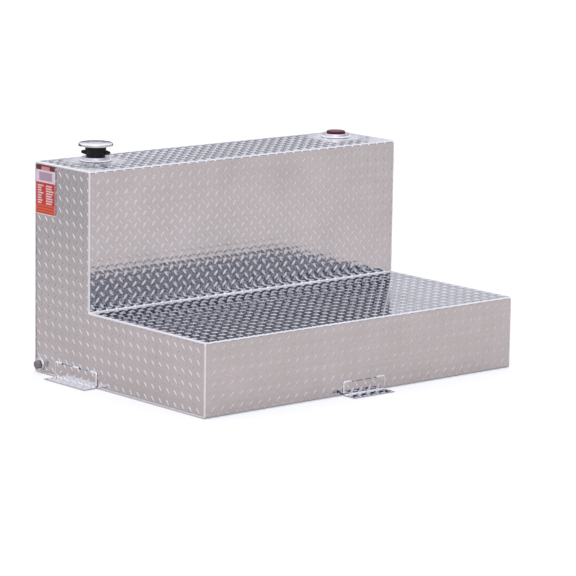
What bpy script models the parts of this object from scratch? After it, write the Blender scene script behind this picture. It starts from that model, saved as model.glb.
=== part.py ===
"""Transfer tank for a truck bed, folded and welded from aluminium tread plate.

The tank is L-shaped from the side: a low deck at the front and an upright box at the rear. One
sheet is folded into bottom, low front, deck, upright front and top. A back plate and two end
plates close it, and two flanged baffles stand inside. Threaded bungs on the top hold the filler
neck with its vented cap and the plug of the pump opening, and a small bung low on the left end
holds the drain plug. Three angle brackets fasten the tank to the bed.

Metres, +Z up, X along the tank, low deck towards -Y. The origin is the centre of the base.
"""

import math

import bmesh
import bpy
from mathutils import Vector

# Shell, over the raised tread
TANK_LENGTH = 1.219
TANK_DEPTH = 0.826
TANK_HEIGHT = 0.650
UPRIGHT_DEPTH = 0.275
DECK_HEIGHT = 0.225
SHEET_THICKNESS = 0.0032
TREAD_HEIGHT = 0.0012
BEND_RADIUS = 0.003
LEAST_RADIUS = 0.0002

# Clearances between neighbouring pieces
SEAT_GAP = 0.0003
THREAD_GAP = 0.0004

# Seam welds: how far a bead laps over the face of the plate that it closes
WELD_LAP = 0.003

# Baffles
BAFFLE_COUNT = 2
BAFFLE_THICKNESS = 0.0025
BAFFLE_FLANGE = 0.025
FLOW_HOLE_RADIUS = 0.036
CORNER_NOTCH_RADIUS = 0.030

# Angle brackets
BRACKET_THICKNESS = 0.0044
END_BRACKET_LENGTH = 0.200
END_BRACKET_HEIGHT = 0.047
END_BRACKET_REACH = 0.047
END_BRACKET_FROM_REAR = 0.113
FRONT_BRACKET_LENGTH = 0.158
FRONT_BRACKET_HEIGHT = 0.040
FRONT_BRACKET_REACH = 0.050
BRACKET_WELD_WIDTH = 0.005
BRACKET_WELD_RETURN = 0.030

# Threaded bungs on the top
BUNG_RADIUS = 0.043
BUNG_HEIGHT = 0.0115
BUNG_SPIGOT_RADIUS = 0.0345
BUNG_SPIGOT_LENGTH = 0.018
BUNG_BORE_RADIUS = 0.0275
BUNG_CHAMFER = 0.0015
BUNG_WELD_WIDTH = 0.006
FILLER_FROM_END = 0.156
FILLER_FROM_REAR = 0.098
PUMP_FROM_END = 0.1015
PUMP_FROM_REAR = 0.105

# Filler neck
NECK_HEIGHT = 0.029
NECK_FOOT_RADIUS = 0.0290
NECK_TOP_RADIUS = 0.0320
NECK_BORE_RADIUS = 0.0235
NECK_SPIGOT_LENGTH = 0.014
NECK_EAR_REACH = 0.045
NECK_EAR_WIDTH = 0.014
NECK_EAR_ROOT_HEIGHT = 0.017
NECK_EAR_TIP_HEIGHT = 0.007
NECK_EAR_LIFT = 0.009
NECK_EAR_ANGLE = math.radians(-48.7)

# Filler cap
CAP_RADIUS = 0.0525
CAP_RIM_HEIGHT = 0.0095
CAP_DOME_HEIGHT = 0.0020
CAP_CENTRE_RADIUS = 0.0190
CAP_CENTRE_STEP = 0.0006
CAP_METAL = 0.0010
CAP_LIP = 0.0030
CAP_DISH_DEPTH = 0.0030
CAP_DISH_FLAT_RADIUS = 0.0315
CAP_PLUG_LENGTH = 0.012
CAP_PLUG_WALL = 0.0030
CAP_PLUG_FLANGE_RADIUS = 0.0280
CAP_PLUG_FLANGE_HEIGHT = 0.0020
CAP_GASKET_THICKNESS = 0.0016
CAP_GASKET_WIDTH = 0.0065
VENT_HOLE_RADIUS = 0.0020

# Plug of the pump opening
PLUG_HEAD_RADIUS = 0.0295
PLUG_HEAD_HEIGHT = 0.0055
PLUG_EDGE_RADIUS = 0.0012
PLUG_SHANK_LENGTH = 0.012
PLUG_WALL = 0.0030
PLUG_SEAL_THICKNESS = 0.0012
PLUG_SEAL_INSET = 0.0008

# Drain
DRAIN_FROM_REAR = 0.032
DRAIN_HEIGHT = 0.0285
DRAIN_BUNG_RADIUS = 0.0150
DRAIN_BUNG_HEIGHT = 0.0050
DRAIN_SPIGOT_RADIUS = 0.0130
DRAIN_SPIGOT_LENGTH = 0.016
DRAIN_BORE_RADIUS = 0.0100
DRAIN_WELD_WIDTH = 0.0035
DRAIN_SHANK_LENGTH = 0.012
DRAIN_HEAD_RADIUS = 0.0132
DRAIN_HEAD_HEIGHT = 0.0110
DRAIN_SEAL_THICKNESS = 0.0015

# Label on the left end
LABEL_WIDTH = 0.097
LABEL_HEIGHT = 0.150
LABEL_FROM_REAR = 0.0085
LABEL_FROM_TOP = 0.0085
LABEL_CORNER_RADIUS = 0.003
LABEL_THICKNESS = 0.0004

# Smoothness of curves
BEND_STEPS = 6
BEAD_STEPS = 6
ROUND_STEPS = 48
HOLE_STEPS = 32

# Worked out from the sizes above
PLATE = SHEET_THICKNESS + TREAD_HEIGHT
BEAD_WIDTH = PLATE + WELD_LAP
BEAD_ARC_RADIUS = (PLATE**2 + BEAD_WIDTH**2) / (2 * BEAD_WIDTH)
BEAD_PROUD = BEAD_ARC_RADIUS - PLATE + SEAT_GAP
SHELL_Y = (FRONT_BRACKET_REACH + SEAT_GAP - BEAD_PROUD) / 2
FRONT_Y = SHELL_Y - TANK_DEPTH / 2
REAR_Y = SHELL_Y + TANK_DEPTH / 2
STEP_Y = REAR_Y - UPRIGHT_DEPTH
END_X = TANK_LENGTH / 2
WRAP_END_X = END_X - PLATE


def clear_scene():
    for obj in list(bpy.data.objects):
        bpy.data.objects.remove(obj, do_unlink=True)


def material(name, colour, roughness, metallic):
    """A Principled material with one colour."""
    made = bpy.data.materials.new(name)
    made.use_nodes = True
    shader = made.node_tree.nodes["Principled BSDF"]
    shader.inputs["Base Color"].default_value = (*colour, 1.0)
    shader.inputs["Roughness"].default_value = roughness
    shader.inputs["Metallic"].default_value = metallic
    return made


def outward_mesh(name, shape):
    """Mesh of a closed bmesh, with every face turned outwards."""
    bmesh.ops.recalc_face_normals(shape, faces=shape.faces)
    if shape.calc_volume(signed=True) < 0:
        bmesh.ops.reverse_faces(shape, faces=shape.faces)
    mesh = bpy.data.meshes.new(name)
    shape.to_mesh(mesh)
    shape.free()
    return mesh


def add_object(name, shape, finish, parent=None, smooth=False):
    """Turn a bmesh into a named object with its own material."""
    mesh = outward_mesh(name, shape)
    if smooth:
        mesh.shade_smooth()
        mesh.set_sharp_from_angle(angle=math.radians(35))
    mesh.materials.append(material(name, *finish))
    obj = bpy.data.objects.new(name, mesh)
    bpy.context.scene.collection.objects.link(obj)
    obj.parent = parent
    return obj


def add_axis(name, location, rotation=(0.0, 0.0, 0.0)):
    """An empty that carries every piece on one axis."""
    axis = bpy.data.objects.new(name, None)
    axis.location = location
    axis.rotation_euler = rotation
    bpy.context.scene.collection.objects.link(axis)
    return axis


def fillet(before, corner, after, radius, steps=BEND_STEPS):
    """Points of the arc that rounds a corner of a flat outline."""
    corner = Vector(corner)
    towards_before = (Vector(before) - corner).normalized()
    towards_after = (Vector(after) - corner).normalized()
    half_angle = towards_before.angle(towards_after) / 2
    middle = (towards_before + towards_after).normalized()
    centre = corner + middle * (radius / math.sin(half_angle))
    start = corner + towards_before * (radius / math.tan(half_angle)) - centre
    end = corner + towards_after * (radius / math.tan(half_angle)) - centre
    sweep = start.angle(end)
    points = []
    for step in range(steps + 1):
        share = step / steps
        weight_start = math.sin((1 - share) * sweep) / math.sin(sweep)
        weight_end = math.sin(share * sweep) / math.sin(sweep)
        points.append(centre + start * weight_start + end * weight_end)
    return [(point.x, point.y) for point in points]


def rounded(corners, closed=True):
    """Outline through corners (u, v, radius). The two ends of an open one stay sharp."""
    points = []
    count = len(corners)
    for index, (u, v, radius) in enumerate(corners):
        if not closed and index in (0, count - 1):
            points.append((u, v))
            continue
        before = corners[index - 1][:2]
        after = corners[(index + 1) % count][:2]
        points += fillet(before, (u, v), after, radius)
    return points


def side_corners(inset):
    """Corners (y, z, radius) of the tank's side view, drawn inset from the outer face."""
    front = FRONT_Y + inset
    step = STEP_Y + inset
    rear = REAR_Y - inset
    deck = DECK_HEIGHT - inset
    top = TANK_HEIGHT - inset
    outer_bend = max(BEND_RADIUS + PLATE - inset, LEAST_RADIUS)
    inner_bend = BEND_RADIUS + inset
    seam = max(PLATE - inset, LEAST_RADIUS)
    return [
        (rear, inset, seam),
        (rear, top, seam),
        (step, top, outer_bend),
        (step, deck, inner_bend),
        (front, deck, outer_bend),
        (front, inset, outer_bend),
    ]


def side_outline(inset):
    return rounded(side_corners(inset))


def prism(outline, place, low, high):
    """Closed solid of a flat outline between two heights. place gives the point in 3-D."""
    solid = bmesh.new()
    bottom = [solid.verts.new(place(u, v, low)) for u, v in outline]
    top = [solid.verts.new(place(u, v, high)) for u, v in outline]
    solid.faces.new(bottom)
    solid.faces.new(top)
    for index in range(len(outline)):
        after = (index + 1) % len(outline)
        solid.faces.new((bottom[index], bottom[after], top[after], top[index]))
    return solid


def along_x(y, z, x):
    return (x, y, z)


def along_y(x, z, y):
    return (x, y, z)


def along_z(x, y, z):
    return (x, y, z)


def sweep(rings, closed):
    """Skin over rings of points. An open sweep gets a cap at each end."""
    solid = bmesh.new()
    skins = [[solid.verts.new(point) for point in ring] for ring in rings]
    count = len(skins[0])
    for index in range(len(skins) if closed else len(skins) - 1):
        ring = skins[index]
        following = skins[(index + 1) % len(skins)]
        for corner in range(count):
            after = (corner + 1) % count
            solid.faces.new((ring[corner], ring[after], following[after], following[corner]))
    if not closed:
        solid.faces.new(skins[0])
        solid.faces.new(skins[-1])
    return solid


def turned(profile, steps=ROUND_STEPS):
    """Spin a closed profile of (radius, height) about the local Z axis."""
    solid = bmesh.new()
    points = [solid.verts.new((radius, 0.0, height)) for radius, height in profile]
    ends_on_axis = profile[0][0] == 0 and profile[-1][0] == 0
    edges = [solid.edges.new(pair) for pair in zip(points, points[1:])]
    if not ends_on_axis:
        edges.append(solid.edges.new((points[-1], points[0])))
    bmesh.ops.spin(
        solid,
        geom=points + edges,
        cent=(0, 0, 0),
        axis=(0, 0, 1),
        angle=2 * math.pi,
        steps=steps,
        use_merge=True,
    )
    bmesh.ops.remove_doubles(solid, verts=solid.verts, dist=1e-6)
    return solid


def arc(centre, radius, start, end, steps=BEND_STEPS):
    """Points (radius, height) along an arc between two angles in degrees."""
    points = []
    for step in range(steps + 1):
        angle = math.radians(start + (end - start) * step / steps)
        points.append((centre[0] + radius * math.cos(angle), centre[1] + radius * math.sin(angle)))
    return points


def combine(target, name, shape, operation, parent=None):
    """Cut a closed shape from an object, or unite it, with a live Boolean. Returns the helper."""
    helper = bpy.data.objects.new(name, outward_mesh(name, shape))
    bpy.context.scene.collection.objects.link(helper)
    helper.parent = parent
    helper.hide_render = True
    helper.display_type = "WIRE"
    modifier = target.modifiers.new(name, "BOOLEAN")
    modifier.operation = operation
    modifier.solver = "EXACT"
    modifier.object = helper
    return helper


def cut(target, name, shape, parent=None):
    combine(target, name, shape, "DIFFERENCE", parent)


def round_bar(radius, low, high, steps=HOLE_STEPS):
    return turned([(0.0, high), (radius, high), (radius, low), (0.0, low)], steps)


def weld_section():
    """Section of a seam bead as (height over the closed face, distance in from its edge).

    The bead fills the groove between two plates, lies flush with the plate beside the groove and
    bulges over the face of the other one, where its toe laps by WELD_LAP.
    """
    flush = -PLATE + SEAT_GAP
    toe_angle = math.degrees(math.asin((BEAD_WIDTH - BEAD_ARC_RADIUS) / BEAD_ARC_RADIUS))
    bulge = arc((flush, -BEAD_ARC_RADIUS), BEAD_ARC_RADIUS, 90, -toe_angle, BEAD_STEPS)
    section = [(flush, PLATE - SEAT_GAP)]
    section += [(height, -depth) for height, depth in bulge]
    section.append((SEAT_GAP, PLATE - SEAT_GAP))
    return section


TREAD_METAL = ((0.60, 0.58, 0.57), 0.30, 1.0)
WELD_METAL = ((0.86, 0.86, 0.90), 0.25, 1.0)


def wrap_sheet(filler_axis, pump_axis):
    """Bottom, low front, deck, upright front and top, folded from one sheet."""
    rear_edge = REAR_Y - PLATE
    outside = side_corners(0.0)[2:]
    inside = side_corners(PLATE)[2:]
    outer = rounded([(rear_edge, TANK_HEIGHT, 0), *outside, (rear_edge, 0.0, 0)], closed=False)
    inner = rounded([(rear_edge, TANK_HEIGHT - PLATE, 0), *inside, (rear_edge, PLATE, 0)], closed=False)
    section = outer + inner[::-1]
    sheet = add_object(
        "wrap_sheet", prism(section, along_x, -WRAP_END_X, WRAP_END_X), TREAD_METAL, smooth=True
    )
    reach = 2 * PLATE
    hole = BUNG_SPIGOT_RADIUS + SEAT_GAP
    cut(sheet, "filler_hole", round_bar(hole, -reach, reach, ROUND_STEPS), filler_axis)
    cut(sheet, "pump_hole", round_bar(hole, -reach, reach, ROUND_STEPS), pump_axis)
    return sheet


def back_plate():
    """Flat plate that closes the rear, between the two edges of the folded sheet."""
    low = PLATE + SEAT_GAP
    high = TANK_HEIGHT - PLATE - SEAT_GAP
    outline = [(-WRAP_END_X, low), (WRAP_END_X, low), (WRAP_END_X, high), (-WRAP_END_X, high)]
    inner_face = REAR_Y - PLATE + SEAT_GAP
    add_object("back_plate", prism(outline, along_y, inner_face, REAR_Y), TREAD_METAL)


def end_plates(drain_axis):
    """L-shaped plates, set back from the outline so that the seam bead fills the edge."""
    inner_face = WRAP_END_X + SEAT_GAP
    outline = side_outline(PLATE)
    left = add_object("left_end_plate", prism(outline, along_x, -END_X, -inner_face), TREAD_METAL)
    add_object("right_end_plate", prism(outline, along_x, inner_face, END_X), TREAD_METAL)
    reach = 2 * PLATE
    hole = DRAIN_SPIGOT_RADIUS + SEAT_GAP
    cut(left, "drain_hole", round_bar(hole, -reach, reach), drain_axis)


def end_weld(name, side):
    """Seam bead that runs once around the edge of an end plate."""
    section = weld_section()
    paths = [side_outline(inset) for height, inset in section]
    rings = []
    for index in range(len(paths[0])):
        ring = []
        for (height, inset), path in zip(section, paths):
            y, z = path[index]
            ring.append((side * (END_X + height), y, z))
        rings.append(ring)
    add_object(name, sweep(rings, closed=True), WELD_METAL, smooth=True)


def rear_weld(name, edge_z, inward):
    """Straight seam bead between the back plate and an edge of the folded sheet."""
    half_length = WRAP_END_X - SEAT_GAP
    outline = [(REAR_Y + height, edge_z + inward * inset) for height, inset in weld_section()]
    bead = prism(outline, along_x, -half_length, half_length)
    add_object(name, bead, WELD_METAL, smooth=True)


def baffle(name, x):
    """Flanged plate across the tank, with flow holes and open corners."""
    rim = PLATE + SEAT_GAP
    outer = side_outline(rim)
    inner = side_outline(rim + BAFFLE_THICKNESS)
    pan = bmesh.new()
    levels = [(outer, 0.0), (outer, BAFFLE_FLANGE), (inner, BAFFLE_FLANGE), (inner, BAFFLE_THICKNESS)]
    loops = [[pan.verts.new((height, y, z)) for y, z in path] for path, height in levels]
    for loop, following in zip(loops, loops[1:]):
        for index in range(len(loop)):
            after = (index + 1) % len(loop)
            pan.faces.new((loop[index], loop[after], following[after], following[index]))
    pan.faces.new(loops[0])
    pan.faces.new(loops[-1])
    plate = add_object(name, pan, ((0.62, 0.61, 0.60), 0.4, 1.0))
    plate.location.x = x - BAFFLE_FLANGE / 2
    low_height = DECK_HEIGHT / 2
    high_low = DECK_HEIGHT + (TANK_HEIGHT - DECK_HEIGHT) / 3
    high_top = DECK_HEIGHT + (TANK_HEIGHT - DECK_HEIGHT) * 2 / 3
    low_depth = TANK_DEPTH - UPRIGHT_DEPTH
    middle_y = REAR_Y - UPRIGHT_DEPTH / 2
    centres = [
        (FRONT_Y + low_depth / 3, low_height),
        (FRONT_Y + low_depth * 2 / 3, low_height),
        (middle_y, low_height),
        (middle_y, high_low),
        (middle_y, high_top),
    ]
    holes = [(y, z, FLOW_HOLE_RADIUS) for y, z in centres]
    notches = [(FRONT_Y, 0.0), (REAR_Y, 0.0), (REAR_Y, TANK_HEIGHT), (STEP_Y, TANK_HEIGHT)]
    holes += [(y, z, CORNER_NOTCH_RADIUS) for y, z in notches]
    reach = BAFFLE_FLANGE
    for number, (y, z, radius) in enumerate(holes, 1):
        shape = round_bar(radius, -reach, reach)
        for vertex in shape.verts:
            vertex.co = Vector((x + vertex.co.z, y + vertex.co.x, z + vertex.co.y))
        cut(plate, f"{name}_opening_{number}", shape)


def bracket(name, mount, length, height, reach):
    """Angle folded from a strip of tread plate, with its upright leg towards the tank."""
    outer_bend = BEND_RADIUS + BRACKET_THICKNESS
    outer = rounded([(0, height, 0), (0, 0, outer_bend), (-reach, 0, 0)], closed=False)
    inside_corner = (-BRACKET_THICKNESS, BRACKET_THICKNESS, BEND_RADIUS)
    inner_ends = [(-BRACKET_THICKNESS, height, 0), (-reach, BRACKET_THICKNESS, 0)]
    inner = rounded([inner_ends[0], inside_corner, inner_ends[1]], closed=False)
    angle = prism(outer + inner[::-1], along_y, -length / 2, length / 2)
    add_object(name, angle, TREAD_METAL, mount, smooth=True)


def bracket_weld(name, mount, path, outward, stand_off):
    """Fillet bead along an edge of a bracket's leg, which path (y, z) follows.

    outward is +1 where the free side lies to the left of the path and -1 where it lies to the right.
    stand_off is the distance from the leg's back to the face of the tank.
    """
    root = stand_off - SEAT_GAP
    depth = BRACKET_THICKNESS + stand_off - 2 * SEAT_GAP
    steps = BEAD_STEPS
    section = [(root, SEAT_GAP)]
    for step in range(steps + 1):
        turn = math.radians(90 * step / steps)
        section.append((root - depth * math.sin(turn), SEAT_GAP + BRACKET_WELD_WIDTH * math.cos(turn)))
    path = [Vector(point) for point in path]
    normals = []
    for start, end in zip(path, path[1:]):
        direction = (end - start).normalized()
        normals.append(Vector((-direction.y, direction.x)) * outward)
    rings = []
    for index, point in enumerate(path):
        first = normals[max(index - 1, 0)]
        second = normals[min(index, len(normals) - 1)]
        mitre = (first + second) / (1 + first.dot(second))
        ring = []
        for x, off in section:
            place = point + mitre * off
            ring.append((x, place.x, place.y))
        rings.append(ring)
    add_object(name, sweep(rings, closed=False), WELD_METAL, mount, smooth=True)


def bracket_welds(side, mount, length, height, stand_off, with_middle):
    """Beads at both ends of a leg, each with a short return along its top edge."""
    bottom = BEND_RADIUS + BRACKET_THICKNESS
    half = length / 2
    first = [(-half + BRACKET_WELD_RETURN, height), (-half, height), (-half, bottom)]
    second = [(half, bottom), (half, height), (half - BRACKET_WELD_RETURN, height)]
    bracket_weld(f"{side}_bracket_weld_1", mount, first, -1, stand_off)
    bracket_weld(f"{side}_bracket_weld_2", mount, second, -1, stand_off)
    if with_middle:
        reach = BRACKET_WELD_RETURN / 2
        middle = [(reach, height), (-reach, height)]
        bracket_weld(f"{side}_bracket_weld_3", mount, middle, -1, stand_off)


def brackets():
    end_stand_off = BEAD_PROUD + SEAT_GAP
    end_reach = END_BRACKET_REACH - end_stand_off
    end_y = REAR_Y - END_BRACKET_FROM_REAR - END_BRACKET_LENGTH / 2
    end_sizes = (END_BRACKET_LENGTH, END_BRACKET_HEIGHT)
    places = {
        "left": ((-END_X - end_stand_off, end_y, 0.0), 0.0),
        "right": ((END_X + end_stand_off, end_y, 0.0), math.pi),
    }
    for side, (location, turn) in places.items():
        mount = add_axis(f"{side}_bracket_mount", location, (0.0, 0.0, turn))
        bracket(f"{side}_bracket", mount, *end_sizes, end_reach)
        bracket_welds(side, mount, *end_sizes, end_stand_off, with_middle=True)
    front_sizes = (FRONT_BRACKET_LENGTH, FRONT_BRACKET_HEIGHT)
    mount = add_axis("front_bracket_mount", (0.0, FRONT_Y - SEAT_GAP, 0.0), (0.0, 0.0, math.pi / 2))
    bracket("front_bracket", mount, *front_sizes, FRONT_BRACKET_REACH)
    bracket_welds("front", mount, *front_sizes, SEAT_GAP, with_middle=False)


def bung(name, axis, sizes):
    """Threaded weld bung: flange on the plate, spigot through it. The thread is left smooth."""
    radius, height, spigot_radius, spigot_length, bore = sizes
    seat = SEAT_GAP
    top = seat + height
    profile = [
        (bore + BUNG_CHAMFER, top),
        (radius - BUNG_CHAMFER, top),
        (radius, top - BUNG_CHAMFER),
        (radius, seat),
        (spigot_radius, seat),
        (spigot_radius, seat - spigot_length),
        (bore, seat - spigot_length),
        (bore, top - BUNG_CHAMFER),
    ]
    add_object(name, turned(profile), ((0.80, 0.80, 0.84), 0.28, 1.0), axis, smooth=True)


def ring_weld(name, axis, radius, width):
    """Fillet bead around the foot of a bung."""
    inner = radius + SEAT_GAP
    profile = [(inner, SEAT_GAP)]
    for step in range(BEAD_STEPS + 1):
        turn = math.radians(90 * step / BEAD_STEPS)
        profile.append((inner + width * math.cos(turn), SEAT_GAP + width * math.sin(turn) * 0.8))
    add_object(name, turned(profile), WELD_METAL, axis, smooth=True)


TOP_BUNG = (BUNG_RADIUS, BUNG_HEIGHT, BUNG_SPIGOT_RADIUS, BUNG_SPIGOT_LENGTH, BUNG_BORE_RADIUS)
DRAIN_BUNG = (
    DRAIN_BUNG_RADIUS,
    DRAIN_BUNG_HEIGHT,
    DRAIN_SPIGOT_RADIUS,
    DRAIN_SPIGOT_LENGTH,
    DRAIN_BORE_RADIUS,
)
BUNG_TOP = SEAT_GAP + BUNG_HEIGHT
NECK_SEAT = BUNG_TOP + SEAT_GAP
NECK_TOP = NECK_SEAT + NECK_HEIGHT


def filler_neck(axis):
    """Black neck screwed into the filler bung, with two ears to turn it by."""
    spigot = BUNG_BORE_RADIUS - THREAD_GAP
    flare = NECK_SEAT + NECK_HEIGHT * 0.25
    shoulder = NECK_SEAT + NECK_HEIGHT * 0.8
    chamfer = NECK_HEIGHT * 0.03
    profile = [
        (NECK_BORE_RADIUS, NECK_TOP),
        (NECK_TOP_RADIUS - chamfer, NECK_TOP),
        (NECK_TOP_RADIUS, NECK_TOP - chamfer),
        (NECK_TOP_RADIUS, shoulder),
        (NECK_FOOT_RADIUS, flare),
        (NECK_FOOT_RADIUS, NECK_SEAT),
        (spigot, NECK_SEAT),
        (spigot, NECK_SEAT - NECK_SPIGOT_LENGTH),
        (NECK_BORE_RADIUS, NECK_SEAT - NECK_SPIGOT_LENGTH),
    ]
    plastic = ((0.012, 0.012, 0.014), 0.45, 0.0)
    neck = add_object("filler_neck", turned(profile), plastic, axis, smooth=True)
    root = (NECK_BORE_RADIUS + NECK_FOOT_RADIUS) / 2
    middle = NECK_SEAT + NECK_EAR_LIFT + NECK_EAR_TIP_HEIGHT / 2
    for number, turn in enumerate((NECK_EAR_ANGLE, NECK_EAR_ANGLE + math.pi), 1):
        outline = [
            (root, middle - NECK_EAR_ROOT_HEIGHT / 2),
            (NECK_EAR_REACH, middle - NECK_EAR_TIP_HEIGHT / 2),
            (NECK_EAR_REACH, middle + NECK_EAR_TIP_HEIGHT / 2),
            (root, middle + NECK_EAR_ROOT_HEIGHT / 2),
        ]
        shape = prism(outline, along_y, -NECK_EAR_WIDTH / 2, NECK_EAR_WIDTH / 2)
        ear = combine(neck, f"neck_ear_{number}", shape, "UNION", axis)
        ear.rotation_euler.z = turn


GASKET_SEAT = NECK_TOP + SEAT_GAP
CAP_SEAT = GASKET_SEAT + CAP_GASKET_THICKNESS + SEAT_GAP
DISH_RIM = CAP_SEAT + CAP_DISH_DEPTH
PLUG_RADIUS = NECK_BORE_RADIUS - THREAD_GAP


def filler_cap(axis):
    """Chromed cap: domed shell crimped over a dish, and a threaded plug with a vent hole."""
    gasket_outer = NECK_BORE_RADIUS + CAP_GASKET_WIDTH
    gasket = [
        (PLUG_RADIUS + SEAT_GAP, GASKET_SEAT + CAP_GASKET_THICKNESS),
        (gasket_outer, GASKET_SEAT + CAP_GASKET_THICKNESS),
        (gasket_outer, GASKET_SEAT),
        (PLUG_RADIUS + SEAT_GAP, GASKET_SEAT),
    ]
    rubber = ((0.02, 0.02, 0.02), 0.7, 0.0)
    add_object("cap_gasket", turned(gasket), rubber, axis, smooth=True)

    hole = PLUG_RADIUS + SEAT_GAP
    rim_outer = CAP_RADIUS - CAP_METAL - SEAT_GAP
    dish = [
        (hole, CAP_SEAT + CAP_METAL),
        (CAP_DISH_FLAT_RADIUS, CAP_SEAT + CAP_METAL),
        (rim_outer - CAP_LIP, DISH_RIM + CAP_METAL),
        (rim_outer, DISH_RIM + CAP_METAL),
        (rim_outer, DISH_RIM),
        (rim_outer - CAP_LIP, DISH_RIM),
        (CAP_DISH_FLAT_RADIUS, CAP_SEAT),
        (hole, CAP_SEAT),
    ]
    chrome = ((0.92, 0.92, 0.93), 0.06, 1.0)
    add_object("cap_dish", turned(dish), chrome, axis, smooth=True)

    flange_seat = CAP_SEAT + CAP_METAL + SEAT_GAP
    flange_top = flange_seat + CAP_PLUG_FLANGE_HEIGHT
    plug_end = CAP_SEAT - CAP_PLUG_LENGTH
    web = flange_top - CAP_PLUG_WALL
    plug = [
        (VENT_HOLE_RADIUS, flange_top),
        (CAP_PLUG_FLANGE_RADIUS, flange_top),
        (CAP_PLUG_FLANGE_RADIUS, flange_seat),
        (PLUG_RADIUS, flange_seat),
        (PLUG_RADIUS, plug_end),
        (PLUG_RADIUS - CAP_PLUG_WALL, plug_end),
        (PLUG_RADIUS - CAP_PLUG_WALL, web),
        (VENT_HOLE_RADIUS, web),
    ]
    plastic = ((0.015, 0.015, 0.017), 0.5, 0.0)
    add_object("cap_plug", turned(plug), plastic, axis, smooth=True)

    shell_rim = DISH_RIM - SEAT_GAP - CAP_METAL
    shoulder = shell_rim + CAP_RIM_HEIGHT
    corner = CAP_RIM_HEIGHT / 2
    crown = shoulder + CAP_DOME_HEIGHT
    inner_corner = corner - CAP_METAL
    outer_wall = arc((CAP_RADIUS - corner, shoulder - corner), corner, 90, 0)
    inner_wall = arc((CAP_RADIUS - corner, shoulder - corner), inner_corner, 0, 90)
    shell = [(0.0, crown + CAP_CENTRE_STEP), (CAP_CENTRE_RADIUS, crown + CAP_CENTRE_STEP)]
    shell += [(CAP_CENTRE_RADIUS + CAP_METAL, crown), *outer_wall]
    shell += [(CAP_RADIUS, shell_rim), (rim_outer - CAP_LIP + CAP_METAL, shell_rim)]
    shell += [(rim_outer - CAP_LIP + CAP_METAL, shell_rim + CAP_METAL)]
    shell += [(CAP_RADIUS - CAP_METAL, shell_rim + CAP_METAL), *inner_wall]
    shell += [(CAP_CENTRE_RADIUS, crown - CAP_METAL), (0.0, crown - CAP_METAL)]
    add_object("filler_cap", turned(shell), chrome, axis, smooth=True)


def pump_plug(axis):
    """Red plastic plug that closes the pump opening, on its sealing ring."""
    seal_low = BUNG_TOP + SEAT_GAP
    seal_top = seal_low + PLUG_SEAL_THICKNESS
    shank = BUNG_BORE_RADIUS - THREAD_GAP
    seal_outer = PLUG_HEAD_RADIUS + PLUG_SEAL_INSET
    seal_inner = BUNG_BORE_RADIUS - THREAD_GAP + SEAT_GAP
    seal = [(seal_inner, seal_top), (seal_outer, seal_top), (seal_outer, seal_low), (seal_inner, seal_low)]
    add_object("pump_plug_seal", turned(seal), ((0.02, 0.02, 0.02), 0.7, 0.0), axis, smooth=True)

    head_low = seal_top + SEAT_GAP
    head_top = head_low + PLUG_HEAD_HEIGHT
    edge = arc((PLUG_HEAD_RADIUS - PLUG_EDGE_RADIUS, head_top - PLUG_EDGE_RADIUS), PLUG_EDGE_RADIUS, 90, 0)
    end = BUNG_TOP - PLUG_SHANK_LENGTH
    plug = [(0.0, head_top), *edge, (PLUG_HEAD_RADIUS, head_low), (shank, head_low), (shank, end)]
    plug += [(shank - PLUG_WALL, end), (shank - PLUG_WALL, head_low), (0.0, head_low)]
    add_object("pump_plug", turned(plug), ((0.16, 0.008, 0.02), 0.35, 0.0), axis, smooth=True)


def drain_plug(axis):
    """Hexagon plug screwed into the drain bung on its sealing washer."""
    seat = SEAT_GAP + DRAIN_BUNG_HEIGHT
    seal_low = seat + SEAT_GAP
    seal_top = seal_low + DRAIN_SEAL_THICKNESS
    shank = DRAIN_BORE_RADIUS - THREAD_GAP
    seal_inner = shank + SEAT_GAP
    seal_outer = DRAIN_HEAD_RADIUS * math.cos(math.radians(30))
    seal = [(seal_inner, seal_top), (seal_outer, seal_top), (seal_outer, seal_low), (seal_inner, seal_low)]
    add_object("drain_plug_seal", turned(seal, HOLE_STEPS), ((0.03, 0.03, 0.03), 0.7, 0.0), axis, smooth=True)

    head_low = seal_top + SEAT_GAP
    head_top = head_low + DRAIN_HEAD_HEIGHT
    end = seat - DRAIN_SHANK_LENGTH
    profile = [(0.0, head_low + DRAIN_HEAD_HEIGHT / 2), (shank, head_low + DRAIN_HEAD_HEIGHT / 2)]
    profile += [(shank, end), (0.0, end)]
    iron = ((0.07, 0.07, 0.075), 0.5, 1.0)
    plug = add_object("drain_plug", turned(profile, HOLE_STEPS), iron, axis)
    corners = []
    for number in range(6):
        turn = math.radians(60 * number)
        corners.append((DRAIN_HEAD_RADIUS * math.cos(turn), DRAIN_HEAD_RADIUS * math.sin(turn)))
    head = prism(corners, along_z, head_low, head_top)
    combine(plug, "drain_plug_head", head, "UNION", axis)


def end_label():
    """Thin sticker near the upper rear corner of the left end."""
    rear = REAR_Y - LABEL_FROM_REAR
    top = TANK_HEIGHT - LABEL_FROM_TOP
    front = rear - LABEL_WIDTH
    bottom = top - LABEL_HEIGHT
    radius = LABEL_CORNER_RADIUS
    corners = [(front, bottom), (rear, bottom), (rear, top), (front, top)]
    outline = rounded([(y, z, radius) for y, z in corners])
    back = -END_X - SEAT_GAP
    label = prism(outline, along_x, back - LABEL_THICKNESS, back)
    add_object("end_label", label, ((0.62, 0.06, 0.04), 0.5, 0.0))


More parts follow.
